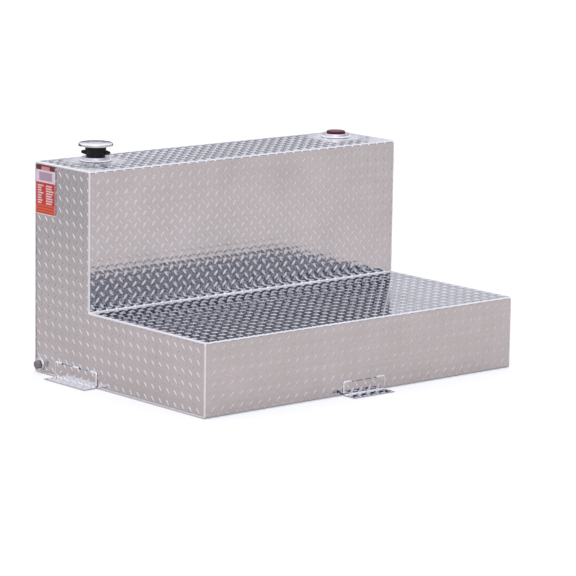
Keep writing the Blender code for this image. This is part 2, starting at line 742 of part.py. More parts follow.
def build():
    clear_scene()
    filler_place = (-END_X + FILLER_FROM_END, REAR_Y - FILLER_FROM_REAR, TANK_HEIGHT)
    pump_place = (END_X - PUMP_FROM_END, REAR_Y - PUMP_FROM_REAR, TANK_HEIGHT)
    drain_place = (-END_X, REAR_Y - DRAIN_FROM_REAR, DRAIN_HEIGHT)
    filler_axis = add_axis("filler_axis", filler_place)
    pump_axis = add_axis("pump_axis", pump_place)
    drain_axis = add_axis("drain_axis", drain_place, (0.0, -math.pi / 2, 0.0))

    wrap_sheet(filler_axis, pump_axis)
    back_plate()
    end_plates(drain_axis)
    end_weld("left_end_weld", -1)
    end_weld("right_end_weld", 1)
    rear_weld("rear_top_weld", TANK_HEIGHT, -1)
    rear_weld("rear_bottom_weld", 0.0, 1)
    for number in range(1, BAFFLE_COUNT + 1):
        baffle(f"baffle_{number}", -END_X + TANK_LENGTH * number / (BAFFLE_COUNT + 1))
    brackets()

    bung("filler_bung", filler_axis, TOP_BUNG)
    ring_weld("filler_bung_weld", filler_axis, BUNG_RADIUS, BUNG_WELD_WIDTH)
    filler_neck(filler_axis)
    filler_cap(filler_axis)

    bung("pump_bung", pump_axis, TOP_BUNG)
    ring_weld("pump_bung_weld", pump_axis, BUNG_RADIUS, BUNG_WELD_WIDTH)
    pump_plug(pump_axis)

    bung("drain_bung", drain_axis, DRAIN_BUNG)
    ring_weld("drain_bung_weld", drain_axis, DRAIN_BUNG_RADIUS, DRAIN_WELD_WIDTH)
    drain_plug(drain_axis)
    end_label()


build()
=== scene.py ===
import bmesh
import bpy
import numpy as np
from mathutils import Matrix, Vector


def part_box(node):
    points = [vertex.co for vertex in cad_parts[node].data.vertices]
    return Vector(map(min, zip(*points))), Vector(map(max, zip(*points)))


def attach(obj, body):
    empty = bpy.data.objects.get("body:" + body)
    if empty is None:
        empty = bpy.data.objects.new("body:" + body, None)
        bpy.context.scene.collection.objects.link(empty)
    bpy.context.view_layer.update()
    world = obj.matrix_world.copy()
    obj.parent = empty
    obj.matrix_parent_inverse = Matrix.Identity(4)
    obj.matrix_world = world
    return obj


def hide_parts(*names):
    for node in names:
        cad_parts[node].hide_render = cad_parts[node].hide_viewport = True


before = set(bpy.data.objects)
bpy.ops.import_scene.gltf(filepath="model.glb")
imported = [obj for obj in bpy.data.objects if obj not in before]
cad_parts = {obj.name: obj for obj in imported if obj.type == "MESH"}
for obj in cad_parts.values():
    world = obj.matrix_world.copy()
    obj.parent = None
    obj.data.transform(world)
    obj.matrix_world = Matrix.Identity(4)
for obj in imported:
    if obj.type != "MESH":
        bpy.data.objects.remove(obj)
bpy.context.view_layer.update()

# Viewpoint
# A long lens looks slightly down on the left front corner of the tank. Place and angles come from
# the tank's corners in the photograph.
CAMERA_PLACE = (-6.19336, -7.24324, 2.02336)
CAMERA_AZIMUTH, CAMERA_ELEVATION, CAMERA_ROLL = np.radians([-40.668, 10.487, 0.909])
SENSOR_WIDTH, FOCAL_LENGTH = 36.0, 197.95

camera_data = bpy.data.cameras.new("photo_camera")
camera_data.sensor_width = SENSOR_WIDTH
camera_data.lens = FOCAL_LENGTH
camera_data.clip_end = 100.0
camera = bpy.data.objects.new("photo_camera", camera_data)
bpy.context.scene.collection.objects.link(camera)
backward = Vector((
    np.sin(CAMERA_AZIMUTH) * np.cos(CAMERA_ELEVATION),
    -np.cos(CAMERA_AZIMUTH) * np.cos(CAMERA_ELEVATION),
    np.sin(CAMERA_ELEVATION),
))
sideways = Vector((0, 0, 1)).cross(backward).normalized()
upward = backward.cross(sideways)
level = Matrix((sideways, upward, backward)).transposed()
rolled = level @ Matrix.Rotation(CAMERA_ROLL, 3, "Z")
camera.matrix_world = Matrix.Translation(CAMERA_PLACE) @ rolled.to_4x4()
bpy.context.scene.camera = camera

# Tread plate
# The whole shell is folded and cut from 3.2 mm aluminium sheet. Rolling leaves lens-shaped lugs on
# its outer face, each pointing at the sides of its neighbours, which lie the other way.
SHEET = 0.0032
LUG_RISE = 0.0012
ROLLED_SPACING = np.array([0.0355, 0.0350])
LUG_WIDTH = 0.0082
DISHING = 0.00018
SQUARE = ROLLED_SPACING.mean() / np.sqrt(2)
LUG_TIP = 0.95
LUG_HALF_WIDTH = LUG_WIDTH / SQUARE
STATIONS = np.array([-1.0, -LUG_TIP, -0.6, 0.0, 0.6, LUG_TIP, 1.0])
NARROWEST = 0.15
BEND_CUTS = 7
BRUSHED_REACH = 2.4
BRUSHED_EDGE = 1.6
BRUSHED_ROUGHNESS = 0.42
LUG_TOP_TONE = (0.89, 0.90, 0.94)
POLISHED_RISE, POLISH = (0.45, 0.95), 0.6


def lug_outline(along):
    """Half width of a lug: the full half width times (1 - t squared) to the power 0.6."""
    return LUG_HALF_WIDTH * np.clip(1 - (along / LUG_TIP) ** 2, 0, 1) ** 0.6


def lug_height(u, v, phase, spacing):
    """Height of the face over the ground of the plate at flat points.

    The flat plane is cut into squares turned 45 degrees, with one lug in each. At share t of the
    half length and r of the half width, a lug stands (1 - t^16)^2 (1 - r^4)^2 of its full rise.
    Between the lugs the ground sinks by the dishing times (1 - cos a cos b), one turn of a and b
    to each square, so it is lowest where a lug's end meets its neighbour's side.
    """
    u, v = (u - phase[0]) / spacing[0], (v - phase[1]) / spacing[1]
    first, second = u + v, v - u
    sunk = DISHING * (1 - np.cos(2 * np.pi * first) * np.cos(2 * np.pi * second))
    column, row = np.round(first), np.round(second)
    first, second = 2 * (first - column), 2 * (second - row)
    lengthways = (column + row) % 2 == 0
    along = np.where(lengthways, first, second)
    across = np.abs(np.where(lengthways, second, first))
    share = across / np.maximum(lug_outline(along), 1e-6)
    ends = np.clip(1 - (along / LUG_TIP) ** 16, 0, 1)
    return LUG_RISE * ends**2 * np.clip(1 - share**4, 0, 1) ** 2 - sunk


def tread_grid(low, high, phase, spacing):
    """Flat points and quads of every turned square that meets a rectangle.

    Each square is a 7 x 7 grid of points. Its inner rows close in on the lug's outline, and its
    edge rows keep the same spacing as its neighbours'.
    """
    across = np.empty((7, 7))
    for line, along in enumerate(STATIONS):
        half = max(lug_outline(along), LUG_HALF_WIDTH * NARROWEST)
        across[line] = [-1, -half, -0.6 * half, 0, 0.6 * half, half, 1]
    across[0] = across[-1] = STATIONS
    along = np.repeat(STATIONS[:, None], 7, axis=1)
    middle = ((low + high) / 2 - phase) / spacing
    reach = int(np.sum((high - low) / spacing) / 2) + 2
    steps = np.arange(-reach, reach + 1)
    column = (steps + np.round(middle[0] + middle[1]))[:, None]
    row = (steps + np.round(middle[1] - middle[0]))[None, :]
    column, row = (grid.ravel() for grid in np.broadcast_arrays(column, row))
    centre = np.stack([column - row, column + row], axis=1) * spacing / 2 + phase
    near = np.all((centre > low - spacing / 2) & (centre < high + spacing / 2), axis=1)
    column, row = column[near, None, None], row[near, None, None]
    lengthways = (column + row) % 2 == 0
    first = column + np.where(lengthways, along, -across) / 2
    second = row + np.where(lengthways, across, along) / 2
    u = (first - second) * spacing[0] / 2 + phase[0]
    v = (first + second) * spacing[1] / 2 + phase[1]
    corner = (np.arange(6)[:, None] * 7 + np.arange(6)).ravel()
    quad = np.stack([corner, corner + 7, corner + 8, corner + 1], axis=1)
    quads = (np.arange(near.sum())[:, None, None] * 49 + quad).reshape(-1, 4)
    return np.stack([u.ravel(), v.ravel()], axis=1), quads


def along_fold(fold, distance):
    """Place and direction in the plane of a folded strip, at distances along it.

    fold is (start point, heading, runs). A run is a length and an angle that the strip turns by
    along it, zero where it is straight. A turn from heading a to b moves the place by length /
    turn times (sin b - sin a, cos a - cos b). The face points to the right of the heading.
    """
    start, heading, runs = fold
    place = np.zeros((len(distance), 2))
    angle = np.zeros(len(distance))
    point = np.array(start, float)
    passed = np.cumsum([0.0] + [length for length, turn in runs])
    run = np.clip(np.searchsorted(passed, distance, side="right") - 1, 0, len(runs) - 1)
    for index, (length, turn) in enumerate(runs):
        here = run == index
        gone = np.append(distance[here] - passed[index], length)
        ahead = heading + gone * turn / length
        if turn:
            moved = np.stack([
                np.sin(ahead) - np.sin(heading), np.cos(heading) - np.cos(ahead)
            ], axis=1) * length / turn
        else:
            moved = np.outer(gone, [np.cos(heading), np.sin(heading)])
        angle[here], place[here] = ahead[:-1], point + moved[:-1]
        point, heading = point + moved[-1], heading + turn
    return place, angle


def slice_flat(shape, place, direction, clear=False):
    """Cuts a flat mesh along a line, and drops what lies beyond it if clear is set."""
    bmesh.ops.bisect_plane(
        shape, geom=shape.verts[:] + shape.edges[:] + shape.faces[:], dist=1e-7,
        plane_co=place, plane_no=direction, clear_outer=clear,
    )


def close_back(shape, shift):
    """Gives an open sheet its edges and a plain back, a shift away, and faces it outwards."""
    rim = [edge for edge in shape.edges if edge.is_boundary]
    pulled = bmesh.ops.extrude_edge_only(shape, edges=rim)["geom"]
    moved = [item for item in pulled if isinstance(item, bmesh.types.BMVert)]
    bmesh.ops.translate(shape, verts=moved, vec=shift)
    edges = [item for item in pulled if isinstance(item, bmesh.types.BMEdge)]
    back_rim = [edge for edge in edges if edge.is_boundary]
    bmesh.ops.triangle_fill(shape, edges=back_rim, use_beauty=False)
    bmesh.ops.recalc_face_normals(shape, faces=shape.faces)
    if shape.calc_volume(signed=True) < 0:
        bmesh.ops.reverse_faces(shape, faces=shape.faces)


def flat_plate(low, high, phase, spacing, thickness, notch, holes, lines):
    """Closed flat plate: lugged face at height 0, edges, plain back at minus its thickness."""
    points, quads = tread_grid(low, high, phase, spacing)
    for centre, radius in holes:
        away = points - centre
        distance = np.hypot(*away.T)
        inside = distance < radius
        quads = quads[~inside[quads].all(axis=1)]
        points[inside] = centre + away[inside] * (radius / distance[inside])[:, None]
    mesh = bpy.data.meshes.new("flat")
    mesh.from_pydata(np.column_stack([points, np.zeros(len(points))]), [], quads)
    shape = bmesh.new()
    shape.from_mesh(mesh)
    bmesh.ops.remove_doubles(shape, verts=shape.verts, dist=2e-6)
    for axis in np.eye(3)[:2]:
        slice_flat(shape, (*low, 0), -axis, clear=True)
        slice_flat(shape, (*high, 0), axis, clear=True)
    if notch is not None:
        for corner, direction in ((0, (1, 0, 0)), (1, (1, 0, 0)), (0, (0, 1, 0))):
            slice_flat(shape, (*notch[corner], 0), direction)
        cut_away = []
        for face in shape.faces:
            middle = face.calc_center_median()
            if notch[0][0] < middle.x < notch[1][0] and middle.y > notch[0][1]:
                cut_away.append(face)
        bmesh.ops.delete(shape, geom=cut_away, context="FACES")
    close_back(shape, Vector((0, 0, -thickness)))
    for line in lines:
        slice_flat(shape, (line, 0, 0), (1, 0, 0))
    shape.to_mesh(mesh)
    shape.free()
    return mesh


def values(items, name, width=1, kind=np.float64):
    """One property of all points, corners or faces of a mesh, with a row for each."""
    flat = np.empty(len(items) * width, kind)
    items.foreach_get(name, flat)
    return flat.reshape(-1, width) if width > 1 else flat


def show(name, mesh):
    """A new object for a mesh, linked to the scene."""
    obj = bpy.data.objects.new(name, mesh)
    bpy.context.scene.collection.objects.link(obj)
    return obj


def tread_plate(
    name, fold, axes, low, high, phase, spacing=ROLLED_SPACING, thickness=SHEET, notch=None,
    holes=(), spots=(), brushed_to=np.inf,
):
    """Plate folded out of flat tread sheet, with its lugs carried round every bend.

    u runs along the fold and v across it. A point lies at the fold's place for u, plus v along the
    third axis, plus its height along the face's normal. The plate is brushed round its holes and
    round the spots, out to 2.4 radii from their edge, but only up to a given u. Its plain back is
    as rough, and the cut edges grow rougher towards it.
    """
    low, high, phase = np.array(low, float), np.array(high, float), np.array(phase, float)
    lines, passed = [], 0.0
    for length, turn in fold[2]:
        if turn:
            lines += list(passed + length * np.linspace(0, 1, BEND_CUTS))
        passed += length
    lines = [line for line in lines if low[0] + 1e-5 < line < high[0] - 1e-5]
    mesh = flat_plate(low, high, phase, spacing, thickness, notch, holes, lines)
    u, v, depth = values(mesh.vertices, "co", 3).T
    outer = depth > -thickness / 2
    height = np.where(outer, lug_height(u, v, phase, spacing), -thickness)
    step = 2e-5
    slope_u = lug_height(u + step, v, phase, spacing) - lug_height(u - step, v, phase, spacing)
    slope_v = lug_height(u, v + step, phase, spacing) - lug_height(u, v - step, phase, spacing)
    slope_u, slope_v = slope_u / (2 * step), slope_v / (2 * step)
    place, angle = along_fold(fold, u)
    first, second = (np.array(axis, float) for axis in axes)
    third = np.cross(first, second)
    ahead = np.outer(np.cos(angle), first) + np.outer(np.sin(angle), second)
    facing = np.outer(np.sin(angle), first) - np.outer(np.cos(angle), second)
    world = np.outer(place[:, 0], first) + np.outer(place[:, 1], second)
    world += np.outer(v, third) + facing * height[:, None]
    mesh.vertices.foreach_set("co", world.ravel())
    mesh.update()
    mesh.shade_smooth()
    smooth = facing - ahead * slope_u[:, None] - third * slope_v[:, None]
    smooth /= np.linalg.norm(smooth, axis=1)[:, None]
    corner_point = values(mesh.loops, "vertex_index", kind=np.int32)
    counts = values(mesh.polygons, "loop_total", kind=np.int32)
    plain = values(mesh.polygons, "normal", 3)
    corner_face = np.repeat(np.arange(len(counts)), counts)
    on_face = (np.bincount(corner_face, outer[corner_point]) == counts)[corner_face, None]
    mesh.normals_split_custom_set(np.where(on_face, smooth[corner_point], plain[corner_face]))
    rise = mesh.attributes.new("rise", "FLOAT", "POINT")
    rise.data.foreach_set("value", np.clip(height / LUG_RISE, 0, 1).astype(np.float32))
    near = np.zeros(len(u))
    for centre, radius in (*holes, *spots):
        away = np.hypot(u - centre[0], v - centre[1]) / radius - 1
        near = np.maximum(near, np.clip((BRUSHED_REACH - away) / BRUSHED_EDGE, 0, 1))
    brushed = mesh.attributes.new("brushed", "FLOAT", "POINT")
    near = np.where(outer, np.where(u > brushed_to, 0, near), 1)
    brushed.data.foreach_set("value", near.astype(np.float32))
    mesh.name = name
    return show(name, mesh)


def node(tree, kind, inputs=(), **settings):
    """A shader node with its settings, and its inputs as values or as other nodes' outputs."""
    made = tree.nodes.new("ShaderNode" + kind)
    for name, value in settings.items():
        setattr(made, name, value)
    for name, value in dict(inputs).items():
        if isinstance(value, bpy.types.NodeSocket):
            tree.links.new(value, made.inputs[name])
        else:
            made.inputs[name].default_value = value
    return made


def shader_group(name, inputs, outputs):
    """An empty group of shader nodes with named sockets."""
    tree = bpy.data.node_groups.new(name, "ShaderNodeTree")
    for label, kind, value in inputs:
        socket = tree.interface.new_socket(label, in_out="INPUT", socket_type="NodeSocket" + kind)
        socket.default_value = value
    for label, kind in outputs:
        tree.interface.new_socket(label, in_out="OUTPUT", socket_type="NodeSocket" + kind)
    return tree, tree.nodes.new("NodeGroupInput"), tree.nodes.new("NodeGroupOutput")


def ramp(value, low, high, first=0.0, last=1.0, curve="LINEAR"):
    """Carries a value from low and high to first and last, and keeps it level beyond them."""
    return node(value.id_data, "MapRange", {
        "Value": value, "From Min": low, "From Max": high, "To Min": first, "To Max": last,
    }, interpolation_type=curve).outputs[0]


def blend(share, first, second):
    """First colour where the share is 0 and the second where it is 1."""
    first, second = ((*c, 1) if isinstance(c, tuple) else c for c in (first, second))
    inputs = {"Fac": share, "Color1": first, "Color2": second}
    return node(share.id_data, "MixRGB", inputs).outputs[0]


def combine(first, second, operation="MULTIPLY", **settings):
    """Product or sum of two values."""
    inputs = {0: first, 1: second}
    return node(first.id_data, "Math", inputs, operation=operation, **settings).outputs[0]


def metal_skin_group():
    """Streaks from rolling or turning, cloudy handling marks and a fine grain, all on one metal."""
    tree, given, out = shader_group(
        "metal_skin",
        [
            ("Clean", "Color", (0.8, 0.8, 0.8, 1)),
            ("Dull", "Color", (0.6, 0.6, 0.6, 1)),
            ("Streaks", "Vector", (8, 300, 300)),
            ("Smoothest", "Float", 0.2),
            ("Roughest", "Float", 0.4),
        ],
        [("Color", "Color"), ("Roughness", "Float"), ("Height", "Float")],
    )
    given, out = given.outputs, out.inputs
    where = node(tree, "TexCoord").outputs["Object"]
    stretched = node(tree, "VectorMath", {0: where, 1: given["Streaks"]}, operation="MULTIPLY")
    streak, cloud, fine = (
        node(tree, "TexNoise", {"Vector": place, **noise}).outputs["Fac"] for place, noise in (
            (stretched.outputs[0], {"Scale": 1.0, "Detail": 4.0}),
            (where, {"Scale": 5.5, "Detail": 5.0, "Roughness": 0.62}),
            (where, {"Scale": 900.0, "Detail": 2.0}),
        )
    )
    marks = ramp(cloud, 0.35, 0.72, last=0.75)
    flecks = ramp(streak, 0.3, 0.75, last=0.35)
    worn = combine(marks, flecks, "ADD", use_clamp=True)
    tree.links.new(blend(worn, given["Clean"], given["Dull"]), out["Color"])
    tree.links.new(ramp(worn, 0, 1, given["Smoothest"], given["Roughest"]), out["Roughness"])
    tree.links.new(combine(streak, fine, "ADD"), out["Height"])
    return tree


metal_skin = metal_skin_group()


def new_finish(name, **sockets):
    """A material with one Principled shader whose plain sockets are set here."""
    material = bpy.data.materials.new(name)
    material.use_nodes = True
    tree = material.node_tree
    shader = tree.nodes["Principled BSDF"]
    for label, value in sockets.items():
        shader.inputs[label.replace("_", " ")].default_value = value
    return material, tree, shader


def skinned(name, clean, dull, streaks, smoothest, roughest, bump, strength=0.6, **sockets):
    """A finish whose colour, roughness and shallow relief come from the shared skin."""
    material, tree, shader = new_finish(name, **sockets)
    surface = node(tree, "Group", {
        "Clean": (*clean, 1), "Dull": (*dull, 1), "Streaks": streaks,
        "Smoothest": smoothest, "Roughest": roughest,
    }, node_tree=metal_skin)
    relief = node(tree, "Bump", {
        "Strength": strength, "Distance": bump, "Height": surface.outputs["Height"],
    })
    tree.links.new(surface.outputs["Color"], shader.inputs["Base Color"])
    tree.links.new(surface.outputs["Roughness"], shader.inputs["Roughness"])
    tree.links.new(relief.outputs[0], shader.inputs["Normal"])
    return material, tree, shader, surface


def skinned_metal(*looks):
    """Bare metal with the shared skin."""
    return skinned(*looks, strength=0.5, Metallic=1.0)


tread_metal, tree, shader, surface = skinned_metal(
    "tread_plate", (0.84, 0.83, 0.87), (0.71, 0.72, 0.735), (7, 120, 120), 0.05, 0.13, 0.00002
)
rise = node(tree, "Attribute", attribute_name="rise").outputs["Fac"]
polished = ramp(rise, *POLISHED_RISE, last=POLISH)
topped = blend(polished, surface.outputs["Color"], LUG_TOP_TONE)
tree.links.new(topped, shader.inputs["Base Color"])
brushed = node(tree, "Attribute", attribute_name="brushed").outputs["Fac"]
matted = ramp(brushed, 0, 1, surface.outputs["Roughness"], BRUSHED_ROUGHNESS)
tree.links.new(matted, shader.inputs["Roughness"])

# Folded shell
# One sheet makes the bottom, the low front, the deck, the upright front and the top. It is bent
# four times to a 3 mm radius, with its lugs on the outside.
WRAP_LOW, WRAP_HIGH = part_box("wrap_sheet")
UPRIGHT_FRONT = 0.162696
DECK_TOP = 0.225
INSIDE_RADIUS = 0.003
OUTER_RADIUS = INSIDE_RADIUS + SHEET
INNER_RADIUS = INSIDE_RADIUS + LUG_RISE
QUARTER = np.pi / 2
ground_top = WRAP_HIGH.z - LUG_RISE
ground_upright = UPRIGHT_FRONT + LUG_RISE
ground_deck = DECK_TOP - LUG_RISE
ground_front = WRAP_LOW.y + LUG_RISE
ground_bottom = WRAP_LOW.z + LUG_RISE
wrap_runs = [
    (WRAP_HIGH.y - ground_upright - OUTER_RADIUS, 0.0),
    (OUTER_RADIUS * QUARTER, QUARTER),
    (ground_top - OUTER_RADIUS - ground_deck - INNER_RADIUS, 0.0),
    (INNER_RADIUS * QUARTER, -QUARTER),
    (ground_upright - INNER_RADIUS - ground_front - OUTER_RADIUS, 0.0),
    (OUTER_RADIUS * QUARTER, QUARTER),
    (ground_deck - 2 * OUTER_RADIUS - ground_bottom, 0.0),
    (OUTER_RADIUS * QUARTER, QUARTER),
    (WRAP_HIGH.y - ground_front - OUTER_RADIUS, 0.0),
]
wrap_fold = ((WRAP_HIGH.y, ground_top), np.pi, wrap_runs)
wrap_ends = np.concatenate([[0], np.cumsum([length for length, turn in wrap_runs])])
WRAP_PHASE = (0.0, 0.0)
BUNG_HOLE = 0.0345
filler_x, filler_y, _ = np.mean(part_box("filler_bung"), axis=0)
pump_x, pump_y, _ = np.mean(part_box("pump_bung"), axis=0)
DRESSED_CORNER = 0.034


def fit(piece, material, body, slot, *nodes):
    """Gives a piece its finish, the body that it rides on and the nodes it stands for. The slot is
    not used.
    """
    piece.data.materials.append(material)
    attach(piece, body)
    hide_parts(*nodes)


bung_holes = [
    (np.array([WRAP_HIGH.y - filler_y, filler_x]), BUNG_HOLE),
    (np.array([WRAP_HIGH.y - pump_y, pump_x]), BUNG_HOLE),
]
corners = [
    (np.array([wrap_ends[1], end]), DRESSED_CORNER) for end in (WRAP_LOW.x, WRAP_HIGH.x)
]
for name, start, end in (
    ("wrap_top_and_upright", 0, 4), ("wrap_deck_and_front", 4, 8), ("wrap_bottom", 8, 9)
):
    sheet = tread_plate(
        name, wrap_fold, ((0, 1, 0), (0, 0, 1)), (wrap_ends[start], WRAP_LOW.x),
        (wrap_ends[end], WRAP_HIGH.x), WRAP_PHASE, holes=bung_holes, spots=corners,
        brushed_to=wrap_ends[1] + 1e-5,
    )
    fit(sheet, tread_metal, "tank", "tread_plate", "wrap_sheet")

# Back plate
# A flat rectangle of the same sheet closes the rear between the two edges of the folded shell.
# Its lugs face outwards too.
BACK_LOW, BACK_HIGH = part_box("back_plate")
UPRIGHT_SPACING = ROLLED_SPACING[::-1]
back_ground = BACK_HIGH.y - LUG_RISE
back = tread_plate(
    "back_tread", ((BACK_HIGH.x, back_ground), np.pi, [(BACK_HIGH.x - BACK_LOW.x, 0.0)]),
    ((1, 0, 0), (0, 1, 0)), (0, BACK_LOW.z), (BACK_HIGH.x - BACK_LOW.x, BACK_HIGH.z),
    (0.012, 0.009), UPRIGHT_SPACING, back_ground - BACK_LOW.y,
)
fit(back, tread_metal, "tank", "tread_plate", "back_plate")

# End plates
# Two L-shaped plates stand a plate's thickness inside the outline, so that the seam beads fill
# the edge. The left one has the drain hole near its lower rear corner.
DRAIN_HOLE = 0.0133
_, drain_y, drain_z = np.mean(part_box("drain_bung"), axis=0)
for side, outward, phase in (("left", -1, (0.0, 0.0)), ("right", 1, (0.01, 0.02))):
    plate_low, plate_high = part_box(side + "_end_plate")
    ground = max(outward * plate_low.x, outward * plate_high.x) - LUG_RISE
    inset = plate_low.z
    length = plate_high.y - plate_low.y
    step = UPRIGHT_FRONT + inset
    if outward < 0:
        fold = ((-ground, plate_high.y), 3 * QUARTER, [(length, 0.0)])
        notch = ((plate_high.y - step, DECK_TOP - inset), (length + 0.1, DECK_TOP))
        holes = [(np.array([plate_high.y - drain_y, drain_z]), DRAIN_HOLE)]
    else:
        fold = ((ground, plate_low.y), QUARTER, [(length, 0.0)])
        notch = ((-0.1, DECK_TOP - inset), (step - plate_low.y, DECK_TOP))
        holes = []
    end = tread_plate(
        side + "_end_tread", fold, ((1, 0, 0), (0, 1, 0)), (0, plate_low.z), (length, plate_high.z),
        phase, UPRIGHT_SPACING, ground - min(outward * plate_low.x, outward * plate_high.x),
        notch, holes,
    )
    fit(end, tread_metal, "tank", "tread_plate", side + "_end_plate")

# Seam welds
# A bead of weld metal fills the groove round each end plate, and one runs along each edge of the
# back plate. The torch leaves overlapping ripples about 5 mm apart.
SEAT_GAP = 0.0003
WELD_LAP = 0.003
PLATE = SHEET + LUG_RISE
SEAM_WIDTH = PLATE + WELD_LAP
SEAM_RADIUS = (PLATE**2 + SEAM_WIDTH**2) / (2 * SEAM_WIDTH)
SEAM_CORNER = 0.0076
RIPPLE_PITCH = 0.005
RIPPLE_DEPTH = 0.075
RIPPLE_LAG = 0.8
WANDER = 0.05
WANDER_WAVES = (0.031, 0.083)
END_X = WRAP_HIGH.x + PLATE


def skin(name, grid, normals=None, wrap=(False, True)):
    """Closed mesh over rows and columns of points.

    wrap says whether the last row and the last column join the first. A row whose points fall
    together is a pole. The faces are turned so that the volume inside comes out positive.
    """
    rows, columns = grid.shape[:2]
    index = np.arange(rows * columns).reshape(rows, columns)
    pole = np.ptp(grid, axis=1).max(axis=1) < 1e-9
    index[pole] = index[pole, :1]
    if wrap[0]:
        index = np.vstack([index, index[:1]])
    if wrap[1]:
        index = np.hstack([index, index[:, :1]])
    quad = np.stack([index[:-1, :-1], index[:-1, 1:], index[1:, 1:], index[1:, :-1]], axis=-1)
    quad = quad.reshape(-1, 4)
    points = grid.reshape(-1, 3)
    a, b, c, d = (points[quad[:, corner]] - points.mean(axis=0) for corner in range(4))
    if np.sum(a * np.cross(b, c)) + np.sum(a * np.cross(c, d)) < 0:
        quad = quad[:, ::-1]
    used, quad = np.unique(quad, return_inverse=True)
    quad = quad.reshape(-1, 4)
    repeated = quad == np.roll(quad, -1, axis=1)
    whole = ~repeated.any(axis=1)
    corner = quad[~whole][~repeated[~whole]].reshape(-1, 3)
    mesh = bpy.data.meshes.new(name)
    mesh.from_pydata(points[used], [], quad[whole].tolist() + corner.tolist())
    mesh.shade_smooth()
    if normals is not None:
        mesh.normals_split_custom_set_from_vertices(normals.reshape(-1, 3)[used])
    return show(name, mesh)


def bead(name, fold, axes, origin, lift, section, closed=False):
    """Weld bead of one node: a section carried along a fold, with ripples and a slow wander.

    A section point (out, up) lies out to the fold's right-hand side and up along lift. Its
    distance from the section's first point, the root, is shortened by a share of the squared
    cosine of pi s / pitch, which lags over the crown, and by slow sines of the distance s. An
    open bead shrinks to its root at both ends along a quarter circle.
    """
    section, origin, lift = (np.array(item, float) for item in (section, origin, lift))
    total = sum(length for length, turn in fold[2])
    count = 4 * int(round(total / RIPPLE_PITCH))
    stations = np.arange(count if closed else count + 1) * total / count
    place, angle = along_fold(fold, stations)
    lag = RIPPLE_LAG * np.sin(np.linspace(0, np.pi, len(section)))
    ripple = np.cos(np.pi * count / 4 * stations[:, None] / total - lag) ** 2
    first, second = (2 * np.pi * stations / wave for wave in WANDER_WAVES)
    slow = np.sin(first) * np.sin(second + 1)
    keep = 1 - RIPPLE_DEPTH * ripple - WANDER * (0.5 + 0.5 * slow)[:, None]
    if not closed:
        near = np.minimum(stations, total - stations) / (RIPPLE_PITCH / 2)
        keep = keep * np.sqrt(1 - (1 - np.clip(near, 0, 1)) ** 2)[:, None]
    first, second = (np.array(axis, float) for axis in axes)
    side = np.outer(np.sin(angle), first) - np.outer(np.cos(angle), second)
    path = origin + np.outer(place[:, 0], first) + np.outer(place[:, 1], second)
    offset = section[0] + (section - section[0]) * keep[..., None]
    grid = path[:, None] + offset[..., :1] * side[:, None] + offset[..., 1:] * lift
    weld = skin(name + "_bead", grid, wrap=(closed, True))
    fit(weld, weld_metal, "tank", "weld", name)


weld_metal, *_ = skinned_metal(
    "weld_metal", (0.96, 0.95, 0.98), (0.86, 0.85, 0.89), (90, 90, 90), 0.4, 0.58, 0.00006
)
toe = np.arcsin((SEAM_WIDTH - SEAM_RADIUS) / SEAM_RADIUS)
turn = np.linspace(QUARTER, -toe, 7)
flush = SEAT_GAP - PLATE
crown = np.stack([
    SEAM_RADIUS * np.sin(turn) - SEAM_RADIUS, flush + SEAM_RADIUS * np.cos(turn)
], axis=1)
seam_section = np.vstack([(flush, flush), crown, (flush, SEAT_GAP)])
REAR_Y = BACK_HIGH.y
FRONT_Y = WRAP_LOW.y
TANK_TOP = WRAP_HIGH.z
corner_run = (SEAM_CORNER * QUARTER, QUARTER)
seam_path = ((REAR_Y, TANK_TOP / 2), QUARTER, [
    (TANK_TOP / 2 - SEAM_CORNER, 0.0),
    corner_run,
    (REAR_Y - UPRIGHT_FRONT - 2 * SEAM_CORNER, 0.0),
    corner_run,
    (TANK_TOP - DECK_TOP - SEAM_CORNER - INSIDE_RADIUS, 0.0),
    (INSIDE_RADIUS * QUARTER, -QUARTER),
    (UPRIGHT_FRONT - FRONT_Y - INSIDE_RADIUS - SEAM_CORNER, 0.0),
    corner_run,
    (DECK_TOP - 2 * SEAM_CORNER, 0.0),
    corner_run,
    (REAR_Y - FRONT_Y - 2 * SEAM_CORNER, 0.0),
    corner_run,
    (TANK_TOP / 2 - SEAM_CORNER, 0.0),
])
for side, outward in (("left", -1), ("right", 1)):
    bead(
        side + "_end_weld", seam_path, ((0, 1, 0), (0, 0, 1)), (outward * END_X, 0, 0),
        (outward, 0, 0), seam_section, closed=True,
    )
rear_reach = WRAP_HIGH.x - SEAT_GAP
for name, start, heading in (
    ("rear_top_weld", (rear_reach, TANK_TOP), np.pi),
    ("rear_bottom_weld", (-rear_reach, 0.0), 0.0),
):
    bead(
        name, (start, heading, [(2 * rear_reach, 0.0)]), ((1, 0, 0), (0, 0, 1)),
        (0, REAR_Y, 0), (0, 1, 0), seam_section,
    )

# Baffles
# Two plain flanged plates stand across the inside to stop the fuel surging. They are pressed from
# mill-finish sheet, with flow holes and open corners.
mill_sheet, *_ = skinned_metal(
    "mill_sheet", (0.66, 0.65, 0.64), (0.50, 0.49, 0.48), (300, 300, 8), 0.3, 0.5, 0.00003
)
for name in ("baffle_1", "baffle_2"):
    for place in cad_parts[name].material_slots:
        place.material = mill_sheet

